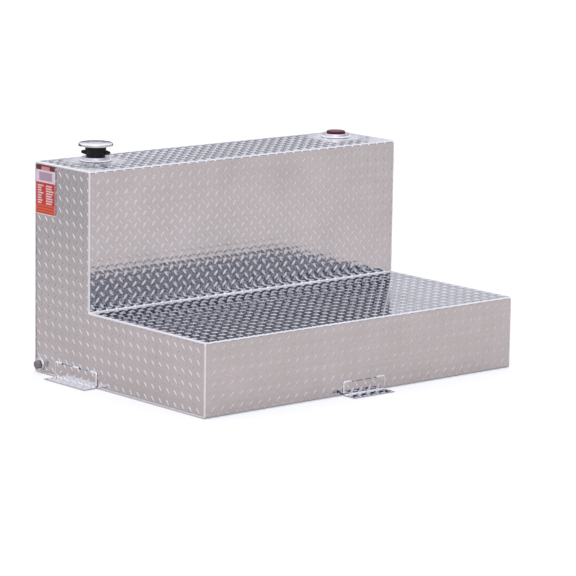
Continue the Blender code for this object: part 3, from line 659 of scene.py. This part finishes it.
# Angle brackets
# Short strips of the same tread plate are folded to an angle, lugs inside the fold, and welded to
# the tank at both ends of the leg. They clamp to the truck's bed.
FILLET_WIDTH = 0.005
FILLET_RETURN = 0.030
FILLET_CORNER = 0.0015
BRACKET_OUTER = INSIDE_RADIUS + PLATE
end_stand_off = SEAM_RADIUS - PLATE + 2 * SEAT_GAP
end_low, end_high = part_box("left_bracket")
front_low, front_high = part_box("front_bracket")
end_x, end_y = END_X + end_stand_off, (end_low.y + end_high.y) / 2
end_sizes = (end_high.y - end_low.y, end_high.z, end_high.x - end_low.x)
front_sizes = (front_high.x - front_low.x, front_high.z, front_high.y - front_low.y)
for side, origin, inward, sizes, stand_off, phase in (
    ("left", (-end_x, end_y, 0), (1, 0, 0), end_sizes, end_stand_off, (0.004, 0.0)),
    ("right", (end_x, end_y, 0), (-1, 0, 0), end_sizes, end_stand_off, (0.010, 0.006)),
    ("front", (0, FRONT_Y - SEAT_GAP, 0), (0, 1, 0), front_sizes, SEAT_GAP, (0.008, 0.003)),
):
    length, height, reach = sizes
    origin, inward, upright = np.array(origin), np.array(inward), np.array([0, 0, 1])
    across = np.cross(inward, upright)
    depth, middle = origin @ inward, origin @ across
    leg = height - SHEET - INNER_RADIUS
    foot = reach - SHEET - INNER_RADIUS
    fold = ((depth - SHEET, height), 3 * QUARTER, [
        (leg, 0.0), (INNER_RADIUS * QUARTER, -QUARTER), (foot, 0.0),
    ])
    strip = leg + INNER_RADIUS * QUARTER + foot
    angle = tread_plate(
        side + "_bracket_tread", fold, (inward, upright), (0, middle - length / 2),
        (strip, middle + length / 2), phase,
    )
    fit(angle, tread_metal, "tank", "tread_plate", side + "_bracket")
    root = stand_off - SEAT_GAP
    throat = PLATE + stand_off - 2 * SEAT_GAP
    turn = np.linspace(0, QUARTER, 7)
    curve = np.stack([SEAT_GAP + FILLET_WIDTH * np.cos(turn), root - throat * np.sin(turn)], axis=1)
    fillet = np.vstack([(SEAT_GAP, root), curve])
    half = length / 2
    bend = (FILLET_CORNER * QUARTER, QUARTER)
    rising = (height - BRACKET_OUTER - FILLET_CORNER, 0.0)
    level_run = (FILLET_RETURN - FILLET_CORNER, 0.0)
    paths = [
        ((FILLET_RETURN - half, height), np.pi, [level_run, bend, rising]),
        ((half, BRACKET_OUTER), QUARTER, [rising, bend, level_run]),
    ]
    if side != "front":
        paths.append(((FILLET_RETURN / 2, height), np.pi, [(FILLET_RETURN, 0.0)]))
    for number, path in enumerate(paths, 1):
        name = f"{side}_bracket_weld_{number}"
        bead(name, path, (-across, upright), origin, inward, fillet)

# Weld bungs
# Two round bosses turned from aluminium bar stand on the top, with a thread inside. Each is welded
# round its foot, and a smaller one at the lower rear corner takes the drain plug.
TOP_BUNG = (0.043, 0.0115, 0.0345, 0.018, 0.0275, 0.0015)
TOP_BUNG_WELD = 0.006
BUNG_WELD_RISE = 0.8
DRAIN_BUNG = (0.015, 0.005, 0.013, 0.016, 0.010, 0.0015)
DRAIN_BUNG_WELD = 0.0035


def rounded(corners, closed=True, steps=4):
    """Outline through corners (a, b, radius), and the outward normals along it.

    The arc at a corner starts radius * tan(turn / 2) before it. Its points lie one radius from a
    centre on the inside of the turn, and its normals go evenly from one side's to the next's.
    """
    corners = np.array(corners, float)
    place, radius = corners[:, :2], corners[:, 2:]
    ahead = np.roll(place, -1, axis=0) - place
    behind = np.roll(ahead, 1, axis=0)
    if not closed:
        ahead[-1], behind[0] = behind[-1], ahead[0]
    heading = np.arctan2(behind[:, 1], behind[:, 0])[:, None]
    turn = (np.arctan2(ahead[:, 1], ahead[:, 0])[:, None] - heading + np.pi) % (2 * np.pi) - np.pi
    area = np.sum(place[:, 0] * np.roll(place[:, 1], -1) - place[:, 1] * np.roll(place[:, 0], -1))
    length = np.linalg.norm(behind, axis=1)[:, None]
    start = place - behind / length * radius * np.abs(np.tan(turn / 2))
    inner = np.sign(turn) * radius
    centre = start + inner * np.hstack([-np.sin(heading), np.cos(heading)])
    angle = heading + turn * np.linspace(0, 1, steps + 1)
    left = np.stack([-np.sin(angle), np.cos(angle)], axis=-1)
    points = (centre[:, None] - inner[..., None] * left).reshape(-1, 2)
    outward = (-np.sign(area) * left).reshape(-1, 2)
    fresh = np.linalg.norm(points - np.roll(points, 1, axis=0), axis=1) > 1e-9
    fresh[0] = fresh[0] or not closed
    return points[fresh], outward[fresh]


def turned(name, corners, place, axes=np.eye(3), closed=True, steps=72):
    """Surface of revolution: a rounded outline (radius, height) carried round the third axis."""
    outline, facing = rounded(corners, closed)
    angle = np.arange(steps) * 2 * np.pi / steps
    ring = np.outer(np.cos(angle), axes[0]) + np.outer(np.sin(angle), axes[1])
    grid = np.array(place) + outline[:, None, :1] * ring + outline[:, None, 1:] * axes[2]
    normals = facing[:, None, :1] * ring + facing[:, None, 1:] * axes[2]
    return skin(name, grid, normals, wrap=(closed, True))


def bung_with_weld(name, place, sizes, weld_width, axes=np.eye(3)):
    """Boss with a bore and a chamfered mouth, and the fillet bead round its foot."""
    radius, height, spigot, length, bore, chamfer = sizes
    top, end = SEAT_GAP + height, SEAT_GAP - length
    boss = turned(name + "_boss", [
        (bore + chamfer, top, 0.0003), (radius, top, 0.0008),
        (radius, SEAT_GAP, 0.0003), (spigot, SEAT_GAP, 0.0003),
        (spigot, end, 0.0005), (bore, end, 0.0005), (bore, top - chamfer, 0.0003),
    ], place, axes)
    fit(boss, turned_metal, "tank", "turned_aluminium", name)
    turn = np.linspace(0, QUARTER, 7)
    out, up = weld_width * np.cos(turn), SEAT_GAP + weld_width * BUNG_WELD_RISE * np.sin(turn)
    section = np.vstack([(0, SEAT_GAP), np.stack([out, up], axis=1)])
    inner = radius + SEAT_GAP
    circle = ((inner, 0.0), QUARTER, [(2 * np.pi * inner, 2 * np.pi)])
    bead(name + "_weld", circle, axes[:2], place, axes[2], section, closed=True)


turned_metal, *_ = skinned_metal(
    "turned_metal", (0.90, 0.90, 0.93), (0.72, 0.72, 0.75), (25, 25, 900), 0.2, 0.34, 0.00002
)
drain_axes = np.array([[0.0, 0.0, 1.0], [0.0, 1.0, 0.0], [-1.0, 0.0, 0.0]])
filler_place = np.array([filler_x, filler_y, TANK_TOP])
pump_place = np.array([pump_x, pump_y, TANK_TOP])
drain_place = np.array([-END_X, drain_y, drain_z])
bung_with_weld("filler_bung", filler_place, TOP_BUNG, TOP_BUNG_WELD)
bung_with_weld("pump_bung", pump_place, TOP_BUNG, TOP_BUNG_WELD)
bung_with_weld("drain_bung", drain_place, DRAIN_BUNG, DRAIN_BUNG_WELD, drain_axes)

# Filler neck
# A short black plastic neck screws into the left bung. Two wedge-shaped ears moulded on its sides
# give a grip for screwing it in.
NECK_SEAT = TOP_BUNG[1] + 2 * SEAT_GAP
NECK_HEIGHT = 0.029
NECK_TOP = NECK_SEAT + NECK_HEIGHT
NECK_FOOT = 0.029
NECK_WIDE = 0.032
NECK_WAIST = 0.012
NECK_BORE = 0.0235
NECK_SPIGOT = 0.0271
NECK_SPIGOT_LENGTH = 0.014
EAR_ANGLE = np.radians(-48.7)
EAR_REACH = 0.045
EAR_MIDDLE = NECK_SEAT + 0.0125
black_plastic, *_ = skinned(
    "black_plastic", (0.005, 0.005, 0.006), (0.010, 0.010, 0.011), (300, 300, 300), 0.3, 0.5,
    0.00005, Specular_IOR_Level=0.22,
)
neck_end = NECK_SEAT - NECK_SPIGOT_LENGTH
neck = turned("filler_neck_body", [
    (NECK_BORE, NECK_TOP, 0.0005), (NECK_WIDE, NECK_TOP, 0.0009),
    (NECK_WIDE, NECK_SEAT + NECK_HEIGHT * 0.8, NECK_WAIST),
    (NECK_FOOT, NECK_SEAT + NECK_HEIGHT * 0.25, NECK_WAIST),
    (NECK_FOOT, NECK_SEAT, 0.0005), (NECK_SPIGOT, NECK_SEAT, 0.0003),
    (NECK_SPIGOT, neck_end, 0.0008), (NECK_BORE, neck_end, 0.0008),
], filler_place)
fit(neck, black_plastic, "tank", "black_plastic", "filler_neck")


def neck_ear(name, turn, drop):
    """Wedge that narrows outwards: rounded rectangles from the neck's wall to a rounded tip.

    At share t of its length the section is 17 - 10 t mm high and 14 - 4 t mm wide. Over the last
    eighth it shrinks along a quarter circle. Its middle sinks by drop times t squared.
    """
    tip = 0.12
    rounding = 1 - tip * (1 - np.sin(np.linspace(0.15, 1, 7) * QUARTER))
    share = np.concatenate([np.linspace(0, 1 - tip, 9), rounding])
    cap = np.sqrt(1 - np.clip((share - (1 - tip)) / tip, 0, 1) ** 2)
    high = (0.017 - 0.010 * share) * cap
    wide = (0.014 - 0.004 * share) * cap
    corners = [(-0.5, -0.5, 0.18), (0.5, -0.5, 0.18), (0.5, 0.5, 0.18), (-0.5, 0.5, 0.18)]
    outline, _ = rounded(corners)
    root = (NECK_BORE + NECK_FOOT) / 2
    outward = root + (EAR_REACH - root) * share
    sideways = outline[None, :, 0] * wide[:, None]
    upward = EAR_MIDDLE - drop * share[:, None] ** 2 + outline[None, :, 1] * high[:, None]
    run = np.array([np.cos(turn), np.sin(turn), 0.0])
    aside = np.array([-np.sin(turn), np.cos(turn), 0.0])
    grid = filler_place + outward[:, None, None] * run + sideways[..., None] * aside
    grid = grid + upward[..., None] * np.array([0, 0, 1.0])
    root_row = np.repeat(grid[:1].mean(axis=1, keepdims=True), grid.shape[1], axis=1)
    return skin(name, np.vstack([root_row, grid]))


for name, turn, drop in (
    ("neck_ear_right", EAR_ANGLE, 0.001), ("neck_ear_left", EAR_ANGLE + np.pi, -0.001)
):
    ear = neck_ear(name, turn, drop)
    ear.data.set_sharp_from_angle(angle=np.radians(50))
    fit(ear, black_plastic, "tank", "black_plastic", "filler_neck")

# Filler cap
# A chromed steel shell is crimped over a dish, with a plastic screw plug below and a rubber
# gasket under the dish. The plug has a small vent hole.
black_rubber, *_ = skinned(
    "black_rubber", (0.018, 0.018, 0.018), (0.030, 0.029, 0.028), (400, 400, 400), 0.55, 0.8,
    0.00006,
)
chrome, *_ = skinned_metal(
    "chrome", (0.92, 0.92, 0.93), (0.84, 0.84, 0.86), (60, 60, 60), 0.05, 0.16, 0.000004
)
GASKET_SEAT = NECK_TOP + SEAT_GAP
GASKET_THICKNESS = 0.0016
GASKET_WIDTH = 0.0065
CAP_SEAT = GASKET_SEAT + GASKET_THICKNESS + SEAT_GAP
CAP_METAL = 0.001
CAP_RADIUS = 0.0525
CAP_RIM = CAP_SEAT + 0.003
SHELL_RIM = CAP_RIM - SEAT_GAP - CAP_METAL
SHOULDER = SHELL_RIM + 0.0095
CROWN = SHOULDER + 0.002
CENTRE = 0.019
CENTRE_STEP = 0.0006
CROWN_EDGE = 0.037
DISH_FLAT = 0.0315
DISH_TURN = 0.003
LIP = CAP_RADIUS - SEAT_GAP - DISH_TURN
FLANGE = 0.028
PLUG_WALL = 0.003
PLUG_LENGTH = 0.012
FLANGE_THICKNESS = 0.002
THREAD_GAP = 0.0004
PLUG_RADIUS = NECK_BORE - THREAD_GAP
VENT = 0.002


def flat_seal(name, inner, outer, low, thickness, place, axes=np.eye(3), edge=0.0004):
    """Ring of sheet rubber with rounded edges."""
    top = low + thickness
    return turned(name, [
        (inner, low, 0.0003), (outer, low, edge), (outer, top, edge), (inner, top, 0.0003),
    ], place, axes)


gasket_inner = PLUG_RADIUS + SEAT_GAP
gasket = flat_seal(
    "cap_gasket_ring", gasket_inner, NECK_BORE + GASKET_WIDTH, GASKET_SEAT, GASKET_THICKNESS,
    filler_place, edge=0.0003,
)
fit(gasket, black_rubber, "cap_seal_ring", "black_rubber", "cap_gasket")
dish_edge = CAP_RADIUS - CAP_METAL - SEAT_GAP
dish_turn = dish_edge - DISH_TURN
dish_seat, dish_rim = CAP_SEAT + CAP_METAL, CAP_RIM + CAP_METAL
dish = turned("cap_dish_pressing", [
    (gasket_inner, CAP_SEAT, 0.0002), (DISH_FLAT, CAP_SEAT, 0.006),
    (dish_turn, CAP_RIM, DISH_TURN), (dish_edge, CAP_RIM, 0.0002),
    (dish_edge, dish_rim, 0.0002), (dish_turn, dish_rim, DISH_TURN),
    (DISH_FLAT, dish_seat, 0.006), (gasket_inner, dish_seat, 0.0002),
], filler_place)
fit(dish, chrome, "cap", "chrome", "cap_dish")
flange_seat = dish_seat + SEAT_GAP
flange_top = flange_seat + FLANGE_THICKNESS
plug_end = CAP_SEAT - PLUG_LENGTH
plug = turned("cap_screw_plug", [
    (VENT, flange_top, 0.0003), (FLANGE, flange_top, 0.0004),
    (FLANGE, flange_seat, 0.0003), (PLUG_RADIUS, flange_seat, 0.0002),
    (PLUG_RADIUS, plug_end, 0.0008), (PLUG_RADIUS - PLUG_WALL, plug_end, 0.0005),
    (PLUG_RADIUS - PLUG_WALL, flange_top - PLUG_WALL, 0.001),
    (VENT, flange_top - PLUG_WALL, 0.0003),
], filler_place)
fit(plug, black_plastic, "cap", "black_plastic", "cap_plug")
shell = turned("filler_cap_shell", [
    (0.0, CROWN + CENTRE_STEP, 0.0), (CENTRE, CROWN + CENTRE_STEP, 0.0006),
    (CENTRE + 0.001, CROWN, 0.0006), (CROWN_EDGE, CROWN - 0.0005, 0.04),
    (CAP_RADIUS, SHOULDER - 0.0004, 0.0046), (CAP_RADIUS, SHELL_RIM, 0.0004),
    (LIP, SHELL_RIM, 0.0003), (LIP, SHELL_RIM + CAP_METAL, 0.0003),
    (CAP_RADIUS - CAP_METAL, SHELL_RIM + CAP_METAL, 0.0002),
    (CAP_RADIUS - CAP_METAL, SHOULDER - 0.0014, 0.0036),
    (CROWN_EDGE, CROWN - 0.0015, 0.039), (CENTRE, CROWN - CAP_METAL, 0.0004),
    (0.0, CROWN - CAP_METAL, 0.0),
], filler_place, closed=False, steps=96)
fit(shell, chrome, "cap", "chrome", "filler_cap")

# Pump opening's plug
# A red plastic plug on a rubber ring closes the right bung until a pump is fitted. Its head is
# low and slightly hollow, with a rounded edge.
red_plastic, *_ = skinned(
    "red_plastic", (0.15, 0.005, 0.020), (0.08, 0.003, 0.012), (200, 200, 200), 0.22, 0.42,
    0.00004, Specular_IOR_Level=0.25,
)
PLUG_HEAD = 0.0295
HEAD_HEIGHT = 0.0055
HEAD_HOLLOW = 0.0008
SEAL_THICKNESS = 0.0012
SEAL_LIP = 0.0008
bung_top = SEAT_GAP + TOP_BUNG[1]
shank = TOP_BUNG[4] - THREAD_GAP
seal_low = bung_top + SEAT_GAP
seal = flat_seal(
    "pump_seal_ring", shank + SEAT_GAP, PLUG_HEAD + SEAL_LIP, seal_low, SEAL_THICKNESS, pump_place
)
fit(seal, black_rubber, "pump_seal_ring", "black_rubber", "pump_plug_seal")
head_low = seal_low + SEAL_THICKNESS + SEAT_GAP
head_top = head_low + HEAD_HEIGHT
hollow = head_top - HEAD_HOLLOW
shank_end = bung_top - PLUG_LENGTH
plug = turned("pump_opening_plug", [
    (0.0, hollow, 0.0), (PLUG_HEAD - 0.0045, hollow, 0.0006),
    (PLUG_HEAD - 0.0035, head_top, 0.0006), (PLUG_HEAD, head_top, 0.0012),
    (PLUG_HEAD, head_low, 0.0004), (shank, head_low, 0.0002),
    (shank, shank_end, 0.0008), (shank - PLUG_WALL, shank_end, 0.0008),
    (shank - PLUG_WALL, head_low, 0.0015), (0.0, head_low, 0.0),
], pump_place, closed=False)
fit(plug, red_plastic, "pump_plug_body", "red_plastic", "pump_plug")

# Drain plug
# A small dark iron plug with a hexagon head closes the drain bung, on a rubber washer. It sits
# low on the left end, near the rear.
dark_iron, *_ = skinned(
    "dark_iron", (0.34, 0.34, 0.36), (0.19, 0.19, 0.19), (120, 120, 120), 0.35, 0.6, 0.00012,
    Metallic=1.0,
)
HEX_CORNER = 0.0132
HEX_FLAT = HEX_CORNER * np.cos(np.pi / 6)
HEX_HEIGHT = 0.011
HEX_TOP = 0.94
SHANK_CHAMFER = 0.001
WASHER_THICKNESS = 0.0015
drain_shank = DRAIN_BUNG[4] - THREAD_GAP
washer_low = SEAT_GAP + DRAIN_BUNG[1] + SEAT_GAP
washer = flat_seal(
    "drain_washer_ring", drain_shank + SEAT_GAP, HEX_FLAT, washer_low, WASHER_THICKNESS,
    drain_place, drain_axes,
)
fit(washer, black_rubber, "drain_washer", "black_rubber", "drain_plug_seal")


def hexagon_plug(name, place, axes, steps=96):
    """Plug with a hexagon head whose corners are turned off at 30 degrees.

    In direction a the head's side lies at flat / cos(a'), where a' is the angle from the nearest
    flat's middle, and its top edge falls by tan 30 of how far the side lies beyond the top face.
    """
    low = washer_low + WASHER_THICKNESS + SEAT_GAP
    top, end = low + HEX_HEIGHT, SEAT_GAP + DRAIN_BUNG[1] - PLUG_LENGTH
    angle = np.arange(steps) * 2 * np.pi / steps
    side = HEX_FLAT / np.cos((angle % (np.pi / 3)) - np.pi / 6)
    face = HEX_FLAT * HEX_TOP
    fall = (side - face) * np.tan(np.pi / 6)
    rows = np.empty((8, 2, steps))
    for row, (away, up) in zip(rows, (
        (0, top), (face, top), (side, top - fall), (side, low), (drain_shank, low),
        (drain_shank, end + SHANK_CHAMFER), (drain_shank - SHANK_CHAMFER, end), (0, end),
    )):
        row[0], row[1] = away, up
    ring = np.outer(np.cos(angle), axes[0]) + np.outer(np.sin(angle), axes[1])
    return skin(name, place + rows[:, 0, :, None] * ring + rows[:, 1, :, None] * axes[2])


plug = hexagon_plug("drain_hexagon_plug", drain_place, drain_axes)
plug.data.set_sharp_from_angle(angle=np.radians(25))
fit(plug, dark_iron, "drain_plug_body", "dark_iron", "drain_plug")

# Label
# A sticker of printed film stands near the upper rear corner of the left end. It carries plain
# fields of colour and rows of bars, with no words. A field is left, right, top and bottom shares.
LABEL_LOW, LABEL_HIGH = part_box("end_label")
LABEL_CORNER = 0.003
RED_FIELD, PALE_FIELD = (0.62, 0.045, 0.03), (0.84, 0.74, 0.84)
BAR_TONE, PANEL_TONE = (0.90, 0.64, 0.68), (0.50, 0.36, 0.48)
LINE_TONE = (0.42, 0.03, 0.02)
BAR_ROWS, BAR_STEP = 8, 0.05
draw = np.random.default_rng(3)
fields = [
    (0.0, 1.0, 0.0, 1.0, (0.90, 0.86, 0.88)),
    (0.0, 0.98, 0.0, 0.10, (0.17, 0.02, 0.02)),
    (0.28, 0.70, 0.025, 0.10, (0.75, 0.30, 0.34)),
    (0.0, 0.98, 0.10, 0.35, PALE_FIELD),
    (0.16, 0.83, 0.14, 0.31, PANEL_TONE),
    (0.0, 0.98, 0.35, 0.80, RED_FIELD),
    (0.0, 0.98, 0.80, 0.985, (0.82, 0.12, 0.055)),
]
for row in range(BAR_ROWS):
    top = 0.40 + row * BAR_STEP
    for left, room in ((0.08, 6), (0.51, 8)):
        length = BAR_STEP * draw.integers(room - 2, room + 1)
        fields.append((left, left + length, top, top + 0.03, BAR_TONE))
for top in (0.84, 0.90, 0.955):
    fields.append((0.05, 0.93, top, top + 0.015, LINE_TONE))
field_edges = np.array([field[:4] for field in fields])
corner_share = np.array([0, 0.15, 0.5, 1]) * LABEL_CORNER
label_width, label_height = LABEL_HIGH.y - LABEL_LOW.y, LABEL_HIGH.z - LABEL_LOW.z


def ruled(edges, size):
    """Lines at every field's edge, and a few close to both ends for the rounded corners."""
    lines = np.concatenate([np.ravel(edges) * size, corner_share, size - corner_share])
    return np.unique(np.round(lines, 6))


across, down = np.meshgrid(
    ruled(field_edges[:, :2], label_width), ruled(field_edges[:, 2:], label_height), indexing="ij"
)
centre = np.stack([label_width / 2 - across, label_height / 2 - down], axis=-1)
inner = np.array([label_width, label_height]) / 2 - LABEL_CORNER
beyond = np.maximum(np.abs(centre) - inner, 0)
stretch = np.maximum(np.linalg.norm(beyond, axis=-1, keepdims=True) / LABEL_CORNER, 1)
flat = np.sign(centre) * (np.minimum(np.abs(centre), inner) + beyond / stretch)
front = np.stack([
    np.full(across.shape, LABEL_LOW.x), flat[..., 0] + (LABEL_LOW.y + LABEL_HIGH.y) / 2,
    flat[..., 1] + (LABEL_LOW.z + LABEL_HIGH.z) / 2,
], axis=-1)
rows, columns = across.shape
corner = (np.arange(rows - 1)[:, None] * columns + np.arange(columns - 1)).ravel()
label_mesh = bpy.data.meshes.new("label_film")
quads = np.stack([corner, corner + columns, corner + columns + 1, corner + 1], axis=1)
label_mesh.from_pydata(front.reshape(-1, 3), [], quads)
shape = bmesh.new()
shape.from_mesh(label_mesh)
close_back(shape, Vector((LABEL_HIGH.x - LABEL_LOW.x, 0, 0)))
shape.to_mesh(label_mesh)
shape.free()
middle = values(label_mesh.polygons, "center", 3)
u = (LABEL_HIGH.y - middle[:, 1]) / label_width
v = (LABEL_HIGH.z - middle[:, 2]) / label_height
tone = np.ones((len(middle), 4))
for left, right, top, bottom, colour in fields:
    tone[(u > left) & (u < right) & (v > top) & (v < bottom), :3] = colour
counts = values(label_mesh.polygons, "loop_total", kind=np.int32)
printed = label_mesh.attributes.new("print", "FLOAT_COLOR", "CORNER")
printed.data.foreach_set("color", np.repeat(tone, counts, axis=0).astype(np.float32).ravel())
label = show("label_film", label_mesh)
label_film, tree, shader, surface = skinned(
    "label_film", (1.0, 1.0, 1.0), (0.86, 0.84, 0.84), (60, 60, 60), 0.3, 0.5, 0.00003
)
ink = node(tree, "Attribute", attribute_name="print")
faded = node(tree, "MixRGB", {
    "Fac": 1.0, "Color1": ink.outputs["Color"], "Color2": surface.outputs["Color"],
}, blend_type="MULTIPLY")
tree.links.new(faded.outputs[0], shader.inputs["Base Color"])
fit(label, label_film, "tank", "label_film", "end_label")

# Studio
# The tank stands on a floor without an edge. Floor and room are white only to the camera: the
# metal mirrors a pinkish-grey floor, a low grey sky and a dark screen low on the right.
FLOOR_HALF, FLOOR_DROP = 60.0, 0.0005
FLOOR_TONE, FLOOR_FAR = (0.605, 0.53, 0.487), (0.425, 0.39, 0.365)
FLOOR_GLOW, GLOW_FAR = (0.46, 0.52, 0.563), (0.635, 0.67, 0.695)
FLOOR_BEHIND = (0.045, 0.045, 0.055)
BEHIND, BEFORE = (0.652, 0.758, 0.0), (-0.652, -0.758, 0.0)
REAR_LEFT, DULL_REACH, DARK_REACH = (-0.652, 0.758, 0.0), (0.3, 4.2), (1.2, 2.0)
SKY, HORIZON, SOFT_BOX = (1.05, 1.06, 1.14), (0.05, 0.05, 0.07), (1.5, 1.5, 1.6)
LOW_BEHIND, LOW_BEFORE = (0.37, 0.365, 0.405), (0.49, 0.455, 0.445)
LOW_LEFT = (1.02, 1.00, 1.03)
LOW_TURN, LEFT_TURN, BOX_TURN = (0.3, 0.8), (-0.2, -0.7), (0.8, 0.95)
SKY_RISE, HORIZON_TURN, HORIZON_TOP = (0.05, 0.45), (0.6, 0.8), (0.16, 0.09)
SCREEN_SIDE, SCREEN_ACROSS = (0.652, -0.758, 0.0), (0.758, 0.652, 0.0)
SCREEN, SCREEN_EDGE = (0.022, 0.027, 0.060), (0.075, 0.08, 0.110)
SCREEN_LEFT, SCREEN_RIGHT, SCREEN_TURN = (-0.26, -0.16), (0.26, 0.16), (0.0, 0.2)
SCREEN_FOOT, SCREEN_SHADE, SCREEN_HEAD = (0.06, 0.12), (0.12, 0.20), (0.50, 0.24)
UNEVENNESS = 0.06


def along(where, direction):
    """How far a place or a direction of view lies along a fixed direction."""
    inputs = {0: where, 1: direction}
    return node(where.id_data, "VectorMath", inputs, operation="DOT_PRODUCT").outputs["Value"]


def soft_step(value, limits):
    """Smooth step of a value from 0 at the first limit to 1 at the second."""
    return ramp(value, *limits, curve="SMOOTHSTEP")


floor_mesh = bpy.data.meshes.new("studio_floor")
floor_mesh.from_pydata([
    (x * FLOOR_HALF, y * FLOOR_HALF, -FLOOR_DROP) for x, y in ((-1, -1), (1, -1), (1, 1), (-1, 1))
], [], [(0, 1, 2, 3)])
show("studio_floor", floor_mesh)
floor_paint, tree, shader = new_finish("floor_paint", Roughness=0.9)
place = node(tree, "TexCoord").outputs["Object"]
dull = ramp(along(place, REAR_LEFT), *DULL_REACH)
dark = ramp(along(place, BEHIND), *DARK_REACH)
path = node(tree, "LightPath").outputs
mirrored = combine(dark, path["Is Glossy Ray"])
paint = blend(mirrored, blend(dull, FLOOR_TONE, FLOOR_FAR), FLOOR_BEHIND)
tree.links.new(paint, shader.inputs["Base Color"])
tree.links.new(blend(dull, FLOOR_GLOW, GLOW_FAR), shader.inputs["Emission Color"])
tree.links.new(path["Is Camera Ray"], shader.inputs["Emission Strength"])
floor_mesh.materials.append(floor_paint)

world = bpy.data.worlds.new("studio_room")
bpy.context.scene.world = world
world.use_nodes = True
tree = world.node_tree
where = node(tree, "TexCoord").outputs["Generated"]
side, _, height = node(tree, "SeparateXYZ", {0: where}).outputs
behind = along(where, BEHIND)
low = blend(soft_step(behind, LOW_TURN), LOW_BEFORE, LOW_BEHIND)
low = blend(soft_step(side, LEFT_TURN), low, LOW_LEFT)
room = blend(soft_step(height, SKY_RISE), low, SKY)
strip = combine(soft_step(behind, HORIZON_TURN), soft_step(height, HORIZON_TOP))
room = blend(strip, room, HORIZON)
room = blend(soft_step(along(where, BEFORE), BOX_TURN), room, SOFT_BOX)
across = along(where, SCREEN_ACROSS)
screen = combine(soft_step(across, SCREEN_LEFT), soft_step(across, SCREEN_RIGHT))
screen = combine(screen, soft_step(along(where, SCREEN_SIDE), SCREEN_TURN))
noise = node(tree, "TexNoise", {"Vector": where, "Scale": 5.0, "Detail": 3.0}).outputs["Fac"]
uneven = combine(combine(noise, UNEVENNESS), height, "ADD")
upright = combine(soft_step(uneven, SCREEN_FOOT), soft_step(uneven, SCREEN_HEAD))
dusk = blend(soft_step(uneven, SCREEN_SHADE), SCREEN_EDGE, SCREEN)
room = blend(combine(screen, upright), room, dusk)
shown = blend(node(tree, "LightPath").outputs["Is Camera Ray"], room, (1, 1, 1))
tree.links.new(shown, tree.nodes["Background"].inputs["Color"])

bpy.context.scene.view_settings.view_transform = "Standard"
